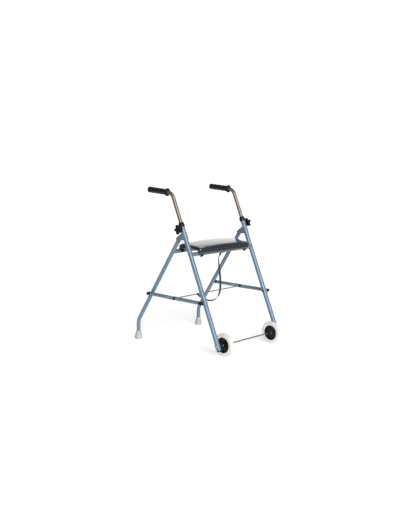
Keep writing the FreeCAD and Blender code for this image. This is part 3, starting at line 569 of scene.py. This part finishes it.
def add_collars():
    """Height collars: a short sleeve with a rolled lip, and the lug that carries the knob."""
    bottom, lug, web, edge, lug_edge = mm(723), mm(9.5), mm(17), mm(0.8), mm(0.9)
    # Places outward from the leg's plane: the lug's two faces, and the foot of its boss.
    lug_inner, lug_outer, boss_foot = mm(9), mm(15.8), mm(12.6)
    foot = AXLE - LEG_WAY * (AXLE.z / LEG_WAY.z)
    back = X_WAY.cross(LEG_WAY)
    sleeve = in_mm((12.55, 0), (15.4, 0), (16, 1.5), (16, 3.4), (15.5, 4), (15.5, 5), (16, 5.6),
                   (16, 13), (15.4, 18), (14, 25), (10.06, 25), (10.06, 11.3), (12.55, 11.3))
    boss = in_mm((4.1, 0), (9.5, 0), (9.5, 8.5), (8.9, 9.4), (8.9, 11.9), (4.1, 11.9))
    steps = 18
    outline = [(lug, web), (-lug, web)]
    for k in range(steps + 1):
        angle = math.pi * (1 + k / steps)
        outline.append((lug * math.cos(angle), lug * math.sin(angle)))
    spots = [KNOB + back * across + LEG_WAY * up for across, up in outline]
    for name, side in SIDES:
        mesh = bmesh.new()
        base = foot + LEG_WAY * bottom + X_WAY * side * LEG_PLANE
        turned(mesh, sleeve, edge, pointing(LEG_WAY, base), 72)
        extruded(mesh, [(spot.y, spot.z) for spot in spots], side * (LEG_PLANE + lug_inner),
                 side * (LEG_PLANE + lug_outer), lug_edge)
        boss_base = Vector((side * (LEG_PLANE + boss_foot), KNOB.y, KNOB.z))
        turned(mesh, boss, edge, pointing(X_WAY * side, boss_base), 48)
        finish_piece("collar_" + name, mesh, "front_frame", "black_plastic",
                     ["height_collar_" + name])


def star(angle):
    """The radius of the knob's star, with five round lobes and tighter valleys."""
    lobes, base, swing, tightness = 5, mm(21.3), mm(5.2), 0.18
    wave = math.cos(lobes * angle)
    return base + swing * (wave + tightness * (wave * wave - 0.5))


def add_knobs():
    """Star knobs: a neck, the star with soft edges, and a raised cap."""
    count, knob_inner = 120, mm(27)
    turns = [2 * math.pi * k / count for k in range(count)]
    neck = in_mm((9.0, -2.0), (8.9, -1.9), (9.4, 0))
    edges = in_mm((0.0, 2.6), (0.35, 1.2), (1.3, 0.35), (3.0, 0.0), (12.6, 0.1), (14.5, 0.8),
                  (15.6, 2.1), (16.0, 3.9), (15.5, 6.2))
    cap = in_mm((10.2, 14.6), (9.2, 14.4), (8.4, 15.0), (7.8, 15.8), (5.2, 16.0))
    for name, side in SIDES:
        face = Vector((side * (LEG_PLANE + knob_inner), KNOB.y, KNOB.z))
        place = pointing(X_WAY * side, face)
        lobe_turn = math.radians(0 if side > 0 else 44)
        stars = [star(turn - lobe_turn) for turn in turns]
        levels = [([radius] * count, height) for radius, height in neck]
        levels += [([radius - inset for radius in stars], height) for height, inset in edges]
        levels += [([radius] * count, height) for radius, height in cap]
        mesh = bmesh.new()
        rings = []
        for radii, height in levels:
            rings.append([mesh.verts.new(place @ Vector((radius * math.cos(turn),
                                                         radius * math.sin(turn), height)))
                          for radius, turn in zip(radii, turns)])
        rings.append([mesh.verts.new(place @ Vector((0, 0, cap[-1][1])))])
        bridge(mesh, rings)
        finish_piece("star_grip_" + name, mesh, "knob_" + name, "black_plastic",
                     ["star_knob_" + name], crease=60)


# ---------------------------------------------------------------- wheels and feet

def hub_rib(mesh, spin, face, rise):
    """A rib on one face of a hub's web, from the boss to the rim, at a share of its full rise."""
    web, half_thick = 2.4, mm(1.2)
    outline = in_mm(*[(along, web + rise * height) for along, height in (
        (12, -0.4), (12, 6), (24, 3), (35, 6.2), (35, -0.4))])
    sides = []
    for across in (-half_thick, half_thick):
        sides.append([mesh.verts.new(spin @ Vector((along, across, face * height)))
                      for along, height in outline])
    bridge(mesh, sides)
    for flat in sides:
        mesh.faces.new(flat)


def add_wheels():
    """Solid tyres with a grooved tread, and dished hubs with ribs."""
    ribs, first_rib, inner_rise, tyre_edge, hub_edge = 6, 15, 0.45, mm(0.9), mm(1.2)
    half = in_mm((41.5, -12), (45, -12), (46, -11.6), (47.2, -11.6), (48.2, -12), (55, -11.4),
                 (59.6, -9.4), (62, -6.4), (62.4, -4.2), (61.9, -3.9), (61.9, -3.5), (62.5, -3.2))
    tyre = half + [(radius, -height) for radius, height in reversed(half)]
    inner_rim = in_mm((33, -2.2), (35.4, -10.8), (40.2, -11.2), (41.5, -10.4))
    outer_rim = [(radius, -height) for radius, height in reversed(inner_rim)]
    hub = (in_mm((7, -4.5), (10.8, -4.5), (13.2, -3)) + inner_rim + outer_rim
           + in_mm((13.2, 3), (12, 13), (7, 13)))
    for name, side in SIDES:
        place = pointing(X_WAY * side, Vector((side * WHEEL_PLANE, AXLE.y, AXLE.z)))
        mesh = bmesh.new()
        turned(mesh, tyre, tyre_edge, place, 128)
        finish_piece("tyre_rubber_" + name, mesh, "wheel_" + name, "tyre_cream", ["tyre_" + name],
                     crease=60)
        mesh = bmesh.new()
        turned(mesh, hub, hub_edge, place, 96)
        for turn in range(ribs):
            angle = math.radians(360 / ribs * turn + first_rib)
            spin = place @ Matrix.Rotation(angle, 4, "Z")
            hub_rib(mesh, spin, -1, inner_rise)
            hub_rib(mesh, spin, 1, 1)
        finish_piece("hub_moulding_" + name, mesh, "wheel_" + name, "hub_black", ["hub_" + name])


def add_ferrules():
    """Rubber feet: a bell-shaped boot with a groove above the floor and a ringed sole."""
    outline = in_mm((0, 1.0), (5, 1.0), (5.6, 0.1), (7.6, 0.1), (8.2, 1.0), (12, 1.0), (12.6, 0),
                    (18.3, 0), (19.9, 1.5), (20.6, 4.8), (20.8, 7.4), (20.3, 8.2), (20.3, 9),
                    (20.6, 9.8), (20.2, 13), (18.7, 23), (16.3, 33), (14.3, 41.5), (13.6, 45),
                    (12.9, 47.6), (12.3, 48), (11.1, 47.4), (11.05, 40), (11.05, 12), (0, 12))
    for name, _ in SIDES:
        low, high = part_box("rear_ferrule_" + name)
        place = Matrix.Translation(((low.x + high.x) / 2, (low.y + high.y) / 2, low.z))
        mesh = bmesh.new()
        lathe(mesh, rounded(outline, mm(0.8), steps=3), place, 72)
        finish_piece("ferrule_boot_" + name, mesh, "rear_frame", "ferrule_grey",
                     ["rear_ferrule_" + name])


# ---------------------------------------------------------------- the seat

def extruded(mesh, outline, low_x, high_x, bevel):
    """A flat outline in Y and Z drawn out along X with rounded edges."""
    faces = []
    rings = [[mesh.verts.new(Vector((x, y, z))) for y, z in outline] for x in (low_x, high_x)]
    count = len(outline)
    for k in range(count):
        faces.append(mesh.faces.new((rings[0][k], rings[0][(k + 1) % count],
                                     rings[1][(k + 1) % count], rings[1][k])))
    ends = [mesh.faces.new(ring) for ring in rings]
    edges = [edge for end in ends for edge in end.edges]
    bmesh.ops.bevel(mesh, geom=edges, offset=bevel, segments=2, profile=0.6, affect="EDGES",
                    clamp_overlap=True)


def arc_points(centre, radius, start, end, steps):
    """Points round a centre in Y and Z between two angles above +Y, in degrees."""
    turns = [math.radians(start + (end - start) * k / steps) for k in range(steps + 1)]
    return [(centre.y + radius * math.cos(a), centre.z + radius * math.sin(a)) for a in turns]


def add_hooks(sizes):
    """The J-shaped seat hooks that reach round the front cross tube."""
    low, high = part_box("seat_hooks")
    inner, outer, tip, tip_turn, plate = mm(13.5), mm(18), mm(15.6), math.radians(243), mm(2.8)
    width, below_tube = mm(20), mm(1.5)
    centre = Vector((0, low.y + outer, FRONT_CROSS.z - below_tube))
    top, under = high.z, high.z - plate
    outline = [(high.y, under), (high.y, top), (centre.y - mm(12), top)]
    outline += arc_points(centre, outer, 128, 236, 22)
    outline += [(centre.y + tip * math.cos(tip_turn), centre.z + tip * math.sin(tip_turn))]
    outline += arc_points(centre, inner, 238, 104, 26)
    outline += [(centre.y + mm(2), under)]
    mesh = bmesh.new()
    for side in (-1, 1):
        at = side * (high.x - width / 2)
        extruded(mesh, outline, at - width / 2, at + width / 2, sizes.edge)
    finish_piece("seat_hook_pair", mesh, "seat", "black_plastic", ["seat_hooks"])


COVER_INSET = mm(1.6)


def slice_of_seat(share, low, high, board):
    """The seat's outline in Y and Z at a share of its half width, in metres."""
    half = high.x

    def rounding(radius):
        """How far an end rounded with this radius has pulled in at this slice."""
        past = max(0, abs(share) * half - (half - radius))
        return radius - math.sqrt(max(0, radius ** 2 - past ** 2))

    pull, thin, lift = 0.8 * rounding(mm(24)), rounding(mm(13)), 0.85 * rounding(mm(27))
    drop = mm(7.5) * share ** 2 + 0.7 * thin
    front, back = low.y + COVER_INSET + pull, high.y - COVER_INSET - pull
    floor_z = board + mm(0.7) + 0.25 * thin
    lip = min(low.z + mm(1.2) + lift, floor_z - mm(2))
    top = high.z - mm(3.5) - drop
    return [(back - mm(1), floor_z), (front + mm(16), floor_z), (front + mm(11), floor_z - mm(3)),
            (front + mm(10), lip + mm(1)), (front + mm(8), lip), (front + mm(2.4), lip),
            (front, lip + mm(3)), (front - mm(0.3), floor_z + mm(6)),
            (front + mm(1.6), floor_z + mm(16.5) - 0.5 * drop),
            (front + mm(8), floor_z + mm(21.5) - drop),
            (front + mm(45), top - mm(5.5)), (front + mm(100), top - mm(0.8)),
            (front + mm(140), top), (back - mm(12), top - mm(3.5)),
            (back - mm(2), floor_z + mm(21) - drop), (back, floor_z + mm(9))]


def seat_shell(low, high, board):
    """The cover's closed form before it is filled, in slices that crowd towards its ends."""
    mesh = bmesh.new()
    count, almost_whole = 44, 0.999
    rings = []
    for k in range(count + 1):
        share = math.sin((k / count - 0.5) * math.pi)
        outline = slice_of_seat(share * almost_whole, low, high, board)
        x = share * (high.x - COVER_INSET)
        rings.append([mesh.verts.new(Vector((x, y, z))) for y, z in outline])
    bridge(mesh, rings)
    mesh.faces.new(rings[0])
    mesh.faces.new(rings[-1])
    bmesh.ops.recalc_face_normals(mesh, faces=mesh.faces)
    return mesh


def applied(made):
    """Replace an object's mesh with what its modifiers make of it."""
    graph = bpy.context.evaluated_depsgraph_get()
    graph.update()
    data = bpy.data.meshes.new_from_object(made.evaluated_get(graph))
    made.modifiers.clear()
    made.data = data


def fill_cover(made, board, swell):
    """Swell the cover with a cloth simulation that is held round the board, lip and ends."""
    start = [vertex.co.copy() for vertex in made.data.vertices]
    held = made.vertex_groups.new(name="board")
    half = max(abs(spot.x) for spot in start)
    last_frame = 16
    # Held wholly up to the first height or distance from an end, and ever less over the second.
    (fixed_above, fade_above), (fixed_end, fade_end) = in_mm((3, 14), (5, 22))
    for vertex in made.data.vertices:
        above = (vertex.co.z - board - fixed_above) / fade_above
        inward = (half - abs(vertex.co.x) - fixed_end) / fade_end
        held.add([vertex.index], max(0.0, min(1.0, 1 - min(above, inward))), "REPLACE")
    cloth = made.modifiers.new("Cloth", "CLOTH")
    for name, value in (("use_pressure", True), ("uniform_pressure_force", 3),
                        ("vertex_group_mass", held.name), ("quality", 8),
                        ("tension_stiffness", 40), ("compression_stiffness", 40),
                        ("bending_stiffness", 4), ("air_damping", 3)):
        setattr(cloth.settings, name, value)
    cloth.settings.effector_weights.gravity = 0
    cloth.point_cache.frame_start = 1
    cloth.point_cache.frame_end = last_frame
    for number in range(1, last_frame + 1):
        bpy.context.scene.frame_set(number)
    applied(made)
    bpy.context.scene.frame_set(1)
    for vertex, was in zip(made.data.vertices, start):
        moved = vertex.co - was
        if moved.length > swell:
            vertex.co = was + moved.normalized() * swell


def seam(mesh, tree, rays, radius, closed=False):
    """A thin welt laid on the cover where rays from outside meet it."""
    points = []
    for origin, way in rays:
        hit = tree.ray_cast(origin, way)[0]
        if hit is not None:
            points.append(hit - way.normalized() * radius * 0.35)
    if len(points) > 2:
        tube_along(mesh, points, radius, closed=closed)


def add_seams(tree, low, high, board):
    """A hem seam round the cover above the board, and a seam down each of its corners."""
    mesh = bmesh.new()
    centre = (low + high) / 2
    hem, steps, outside = board + mm(4.5), 180, 1.5
    rays = []
    for k in range(steps):
        angle = 2 * math.pi * k / steps
        way = Vector((math.cos(angle) * high.x, math.sin(angle) * (high.y - low.y) / 2, 0))
        rays.append((Vector((*(centre + outside * way).xy, hem)), -way))
    seam(mesh, tree, rays, mm(0.9), closed=True)
    inset, far, steps = mm(9), mm(60), 12
    top = high.z - mm(17)
    for side in (-1, 1):
        for y, face, bottom in ((low.y, -1, low.z + mm(22)), (high.y, 1, board + mm(5))):
            way = Vector((-side, -face, 0)).normalized()
            origin = Vector((side * (high.x - inset), y - face * inset, 0)) - way * far
            rise = top - bottom
            rays = [(origin + Vector((0, 0, bottom + rise * k / steps)), way)
                    for k in range(steps + 1)]
            seam(mesh, tree, rays, mm(0.7))
    finish_piece("seat_cover_seams", mesh, "seat", "navy_vinyl", crease=80)


def add_seat(sizes):
    """The padded cover, filled by simulation, with its seams."""
    low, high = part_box("seat_pad")
    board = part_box("seat_board")[0].z
    shell = finish_piece("seat_cover", seat_shell(low, high, board), "seat", "navy_vinyl",
                         ride=False)
    remesh = shell.modifiers.new("Remesh", "REMESH")
    remesh.mode = "VOXEL"
    remesh.voxel_size = sizes.voxel
    remesh.use_smooth_shade = True
    applied(shell)
    fill_cover(shell, board, sizes.swell)
    relax = shell.modifiers.new("Relax", "SMOOTH")
    relax.iterations = 3
    relax.factor = 0.4
    shell.modifiers.new("Subdivision", "SUBSURF").levels = 1
    applied(shell)
    padded_above, unevenness = board + mm(8), mm(0.45)
    floor, ceiling = low - Vector(in_mm((0, 1, 0.5))[0]), high + Vector(in_mm((0, 1, 1))[0])
    for vertex in shell.data.vertices:
        flow = noise.noise(vertex.co * per(85)) + 0.4 * noise.noise(vertex.co * per(32))
        if vertex.co.z > padded_above:
            vertex.co.z += unevenness * flow
        vertex.co = [max(least, min(most, value))
                     for least, most, value in zip(floor, ceiling, vertex.co)]
    shell.data.materials.clear()
    shell.data.materials.append(FINISHES["navy_vinyl"])
    shell.data.shade_smooth()
    graph = bpy.context.evaluated_depsgraph_get()
    tree = BVHTree.FromObject(shell, graph)
    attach(shell, "seat")
    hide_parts("seat_pad")
    add_seams(tree, low, high, board)


# ---------------------------------------------------------------- the pull strap

STRAP_ROUTE = [mm(1) * Vector(spot) for spot in (
    (4, -69.5, 507.5), (-5, -66.5, 494), (-12, -65.2, 477), (-12, -67, 455), (-8.5, -70.8, 418),
    (-5.5, -74.2, 374), (-3.5, -76, 331), (-5, -74.6, 297), (-11, -68.5, 269), (-22, -57, 250),
    (-37, -42, 242), (-53, -26, 244), (-68, -11, 251), (-80, 1, 261), (-87, 8.6, 272))]
# Share of the strap's length, turn of its width about the vertical in degrees, and its rise.
STRAP_TWIST = [(0, 0, 0), (0.07, 20, 0), (0.15, 12, 0), (0.3, -38, 0), (0.5, -46, 0),
               (0.62, -15, 0.1), (0.72, 20, 0.5), (0.82, 40, 0.6), (0.93, 20, 0.3), (1, 5, 0)]


def smooth_line(name, route):
    """Points along the smooth curve that has the route as its control points."""
    data = bpy.data.curves.new(name, "CURVE")
    data.dimensions = "3D"
    spline = data.splines.new("NURBS")
    spline.points.add(len(route) - 1)
    for point, spot in zip(spline.points, route):
        point.co = (*spot, 1)
    spline.order_u = 3
    spline.use_endpoint_u = True
    spline.resolution_u = 10
    holder = bpy.data.objects.new(name, data)
    mesh = bpy.data.meshes.new_from_object(holder)
    points = [vertex.co.copy() for vertex in mesh.vertices]
    bpy.data.objects.remove(holder)
    bpy.data.curves.remove(data)
    bpy.data.meshes.remove(mesh)
    return points


def width_at(share):
    """The way that the webbing's width points at a share of the strap's length."""
    for (one, turn, rise), (other, next_turn, next_rise) in zip(STRAP_TWIST, STRAP_TWIST[1:]):
        if share <= other:
            part = (share - one) / (other - one)
            part = part * part * (3 - 2 * part)
            angle = math.radians(turn + (next_turn - turn) * part)
            return Vector((math.cos(angle), math.sin(angle), rise + (next_rise - rise) * part))
    return X_WAY


def runs_along(points):
    """How far along a line each of its points is."""
    runs = [0.0]
    for one, other in zip(points, points[1:]):
        runs.append(runs[-1] + (other - one).length)
    return runs


def webbing(mesh, points, widths, width, thick):
    """A flat strip with soft edges along points, each with its own width direction."""
    layer = mesh.loops.layers.uv.new("Strip")
    section = [(-0.5, -0.18), (-0.46, -0.5), (0, -0.5), (0.46, -0.5), (0.5, -0.18), (0.5, 0.18),
               (0.46, 0.5), (0, 0.5), (-0.46, 0.5), (-0.5, 0.18)]
    rings, runs = [], runs_along(points)
    for index, spot in enumerate(points):
        before, after = points[max(0, index - 1)], points[min(len(points) - 1, index + 1)]
        along = (after - before).normalized()
        wide = widths[index] - along * widths[index].dot(along)
        wide.normalize()
        up = along.cross(wide)
        rings.append([mesh.verts.new(spot + wide * (u * width) + up * (v * thick))
                      for u, v in section])
    for index in range(len(rings) - 1):
        for k in range(len(section)):
            after = (k + 1) % len(section)
            face = mesh.faces.new((rings[index][k], rings[index][after], rings[index + 1][after],
                                   rings[index + 1][k]))
            spots = ((index, k), (index, after), (index + 1, after), (index + 1, k))
            for loop, (ring, corner) in zip(face.loops, spots):
                loop[layer].uv = (runs[ring], section[corner][0] * width)
    for ring in (rings[0], rings[-1]):
        mesh.faces.new(ring)


def loop_round(centre, radius, meet, after, gap):
    """A path from the strap's end, round a tube or rod along X, and back to the strap's end."""
    offset = meet - centre
    start = math.atan2(offset.z, offset.y)
    open_half, steps = math.radians(52), 28
    way = (after - meet).normalized()
    off = Vector((0, -way.z, way.y)).normalized() * gap
    round_points = []
    for k in range(steps + 1):
        angle = start + open_half + (2 * math.pi - 2 * open_half) * k / steps
        round_points.append(Vector((centre.x, centre.y + radius * math.cos(angle),
                                    centre.z + radius * math.sin(angle))))
    if (round_points[0] - (meet + off)).length > (round_points[0] - (meet - off)).length:
        off = -off
    tail = [meet + way * mm(reach) for reach in (15, 6, 0)]
    return [spot + off for spot in tail] + round_points + [spot - off for spot in reversed(tail)]


def stitches(mesh, start, way, wide, up, layers):
    """A sewn box with a cross in it, on both faces of a webbing tail."""
    long, half, pitch, thread, first = mm(10), mm(3.6), mm(2.4), mm(0.28), mm(2.5)
    # Each stitch's shares of the pitch, and how far the thread stands off the webbing there.
    stitch = ((0.14, -mm(0.1)), (0.5, mm(0.12)), (0.86, -mm(0.1)))
    corners = [(0, -half), (long, -half), (long, half), (0, half)]
    lines = [(corners[k], corners[(k + 1) % 4]) for k in range(4)]
    lines += [(corners[0], corners[2]), (corners[1], corners[3])]
    for face in (-1, 1):
        for one, other in lines:
            count = max(2, round(math.dist(one, other) / pitch))
            for k in range(count):
                spots = []
                for part, proud in stitch:
                    share = (k + part) / count
                    along = first + one[0] + (other[0] - one[0]) * share
                    across = one[1] + (other[1] - one[1]) * share
                    spots.append(start + way * along + wide * across + up * face * (layers + proud))
                tube_along(mesh, spots, thread, 6)


def add_strap(sizes):
    """The hanging webbing and its two sewn loops."""
    points = smooth_line("strap_line", STRAP_ROUTE)
    runs = runs_along(points)
    total = runs[-1]
    widths = [width_at(run / total) for run in runs]
    mesh = bmesh.new()
    webbing(mesh, points, widths, sizes.strap_width, sizes.strap_thick)
    strap = finish_piece("strap_webbing", mesh, None, "webbing_black", ["pull_strap"], ride=False)
    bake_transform(strap)
    gap, stitched = 1.02 * sizes.strap_thick, 1.55 * sizes.strap_thick
    ends = (("front", "front_frame", FRONT_CROSS, mm(12.0), STRAP_ROUTE[0], STRAP_ROUTE[1]),
            ("rear", "front_stays", CROSS_ROD, mm(4.1), STRAP_ROUTE[-1], STRAP_ROUTE[-2]))
    for name, body, centre, radius, meet, after in ends:
        mesh = bmesh.new()
        centre = centre + X_WAY * middle("strap_loop_" + name).x
        path = loop_round(centre, radius, meet, after, gap)
        webbing(mesh, path, [X_WAY] * len(path), sizes.strap_width, sizes.strap_thick)
        finish_piece("strap_end_" + name, mesh, body, "webbing_black", ["strap_loop_" + name])
        mesh = bmesh.new()
        way = (after - meet).normalized()
        wide = (X_WAY - way * X_WAY.dot(way)).normalized()
        stitches(mesh, meet, way, wide, way.cross(wide), stitched)
        sewn = finish_piece("strap_stitches_" + name, mesh, body, "webbing_black", crease=80)
        sewn.data.materials[0] = FINISHES["thread"]


# ---------------------------------------------------------------- the stage

def broad_sun(strength, way):
    """A sun with a wide disc, which lights the floor evenly and casts soft shadows."""
    data = bpy.data.lights.new("broad_sun", "SUN")
    data.energy = strength
    data.angle = math.radians(40)
    made = bpy.data.objects.new("broad_sun", data)
    made.rotation_euler = Vector(way).to_track_quat("Z", "Y").to_euler()
    bpy.context.scene.collection.objects.link(made)


def pale_room(strength, backdrop):
    """A white backdrop behind the frame, and a dimmer room round it that gives the tubes shape."""
    world = bpy.data.worlds.new("pale_room")
    world.use_nodes = True
    tree = world.node_tree
    tree.nodes.clear()
    way = add(tree, "ShaderNodeTexCoord").outputs["Generated"]
    ahead = add(tree, "ShaderNodeVectorMath", {0: way, 1: Vector(backdrop).normalized()},
                operation="DOT_PRODUCT")
    level = add(tree, "ShaderNodeMapRange", {"Value": ahead.outputs["Value"], "From Min": 0.6,
                                             "From Max": 0.88, "To Min": 0.28, "To Max": 1.12},
                interpolation_type="SMOOTHSTEP")
    shade = add(tree, "ShaderNodeMath", {0: level.outputs["Result"], 1: strength},
                operation="MULTIPLY")
    light = add(tree, "ShaderNodeBackground", {"Color": (1.0, 0.995, 0.99, 1),
                                               "Strength": shade.outputs[0]})
    add(tree, "ShaderNodeOutputWorld", {"Surface": light.outputs[0]})
    bpy.context.scene.world = world


def pale_floor():
    """A round lit table, just large enough to run out of sight in front of the frame."""
    mesh = bmesh.new()
    reach, steps = 2.6, 64
    rim = [mesh.verts.new((reach * math.cos(turn), reach * math.sin(turn), 0))
           for turn in (2 * math.pi * k / steps for k in range(steps))]
    mesh.faces.new(rim)
    data = bpy.data.meshes.new("floor")
    mesh.to_mesh(data)
    mesh.free()
    floor = bpy.data.objects.new("floor", data)
    bpy.context.scene.collection.objects.link(floor)
    # Back-lit white acrylic: an even glow, on which only the contact shadows show.
    painted = surface("lit_white_acrylic", linear("#c9c6c4"), 0.85, Specular_IOR_Level=0.0,
                      Emission_Color=linear("#ffffff"), Emission_Strength=0.62)[0]
    data.materials.append(painted)


def set_camera(settings):
    """The camera, level apart from a slight roll."""
    data = bpy.data.cameras.new("camera")
    data.sensor_width = 36
    data.lens = settings.lens
    camera = bpy.data.objects.new("camera", data)
    spot, target = Vector(settings.camera), Vector(settings.target)
    turn = (target - spot).to_track_quat("-Z", "Y").to_matrix().to_4x4()
    camera.matrix_world = Matrix.Translation(spot) @ turn @ Matrix.Rotation(settings.roll, 4, "Z")
    bpy.context.scene.collection.objects.link(camera)
    bpy.context.scene.camera = camera


# ---------------------------------------------------------------- the add-on

class FRAME_OT_stage(bpy.types.Operator):
    """Set the floor, the lights and the camera"""
    bl_idname = "walking_frame.stage"
    bl_label = "Stage"

    def execute(self, context):
        settings = context.scene.frame_stage
        set_camera(settings)
        pale_floor()
        pale_room(settings.sky, settings.backdrop)
        broad_sun(settings.key, settings.sun)
        context.scene.view_settings.view_transform = "Standard"
        return {"FINISHED"}


class FRAME_OT_tubes(bpy.types.Operator):
    """Give the tubes, brackets, stays and small fittings their materials"""
    bl_idname = "walking_frame.tubes"
    bl_label = "Tubes and fittings"

    def execute(self, context):
        dress_nodes()
        return {"FINISHED"}


class FRAME_OT_strap(bpy.types.Operator):
    """Add the pull strap with its sewn loops"""
    bl_idname = "walking_frame.strap"
    bl_label = "Pull strap"

    def execute(self, context):
        add_strap(context.scene.frame_sizes)
        return {"FINISHED"}


class FRAME_OT_seat(bpy.types.Operator):
    """Add the padded seat cover and its seams"""
    bl_idname = "walking_frame.seat"
    bl_label = "Seat"

    def execute(self, context):
        add_seat(context.scene.frame_sizes)
        return {"FINISHED"}


class FRAME_OT_hooks(bpy.types.Operator):
    """Add the seat hooks"""
    bl_idname = "walking_frame.hooks"
    bl_label = "Seat hooks"

    def execute(self, context):
        add_hooks(context.scene.frame_sizes)
        return {"FINISHED"}


class FRAME_OT_welds(bpy.types.Operator):
    """Add the weld beads"""
    bl_idname = "walking_frame.welds"
    bl_label = "Welds"

    def execute(self, context):
        add_welds(context.scene.frame_sizes)
        return {"FINISHED"}


class FRAME_OT_grips(bpy.types.Operator):
    """Add the hand grips"""
    bl_idname = "walking_frame.grips"
    bl_label = "Grips"

    def execute(self, context):
        add_grips()
        return {"FINISHED"}


class FRAME_OT_collars(bpy.types.Operator):
    """Add the height collars"""
    bl_idname = "walking_frame.collars"
    bl_label = "Height collars"

    def execute(self, context):
        add_collars()
        return {"FINISHED"}


class FRAME_OT_knobs(bpy.types.Operator):
    """Add the star knobs"""
    bl_idname = "walking_frame.knobs"
    bl_label = "Star knobs"

    def execute(self, context):
        add_knobs()
        return {"FINISHED"}


class FRAME_OT_wheels(bpy.types.Operator):
    """Add the tyres and hubs"""
    bl_idname = "walking_frame.wheels"
    bl_label = "Wheels"

    def execute(self, context):
        add_wheels()
        return {"FINISHED"}


class FRAME_OT_ferrules(bpy.types.Operator):
    """Add the rubber rear feet"""
    bl_idname = "walking_frame.ferrules"
    bl_label = "Rear feet"

    def execute(self, context):
        add_ferrules()
        return {"FINISHED"}


OPERATORS = (FRAME_OT_stage, FRAME_OT_tubes, FRAME_OT_strap, FRAME_OT_seat, FRAME_OT_hooks,
             FRAME_OT_welds, FRAME_OT_grips, FRAME_OT_collars, FRAME_OT_knobs, FRAME_OT_wheels,
             FRAME_OT_ferrules)


class FRAME_PT_sidebar(bpy.types.Panel):
    """The walking frame's pieces, sizes and colours"""
    bl_idname = "FRAME_PT_sidebar"
    bl_label = "Walking frame"
    bl_space_type = "VIEW_3D"
    bl_region_type = "UI"
    bl_category = "Walking frame"

    def draw(self, context):
        for operator in OPERATORS:
            self.layout.operator(operator.bl_idname)
        for group in (context.scene.frame_sizes, context.scene.frame_colours,
                      context.scene.frame_stage):
            box = self.layout.box()
            for name in group.bl_rna.properties.keys():
                if name not in ("rna_type", "name"):
                    box.prop(group, name)


GROUPS = {"frame_colours": FrameColours, "frame_sizes": FrameSizes, "frame_stage": StageSettings}
FINISHES = {}


def register():
    for made in (*GROUPS.values(), *OPERATORS, FRAME_PT_sidebar):
        bpy.utils.register_class(made)
    for name, group in GROUPS.items():
        setattr(bpy.types.Scene, name, bpy.props.PointerProperty(type=group))


def unregister():
    for name in GROUPS:
        delattr(bpy.types.Scene, name)
    for made in reversed((*GROUPS.values(), *OPERATORS, FRAME_PT_sidebar)):
        bpy.utils.unregister_class(made)


def main():
    """Build every piece in order."""
    register()
    FINISHES.update(finishes())
    for operator in OPERATORS:
        group, name = operator.bl_idname.split(".")
        getattr(getattr(bpy.ops, group), name)()


if __name__ == "__main__":
    main()
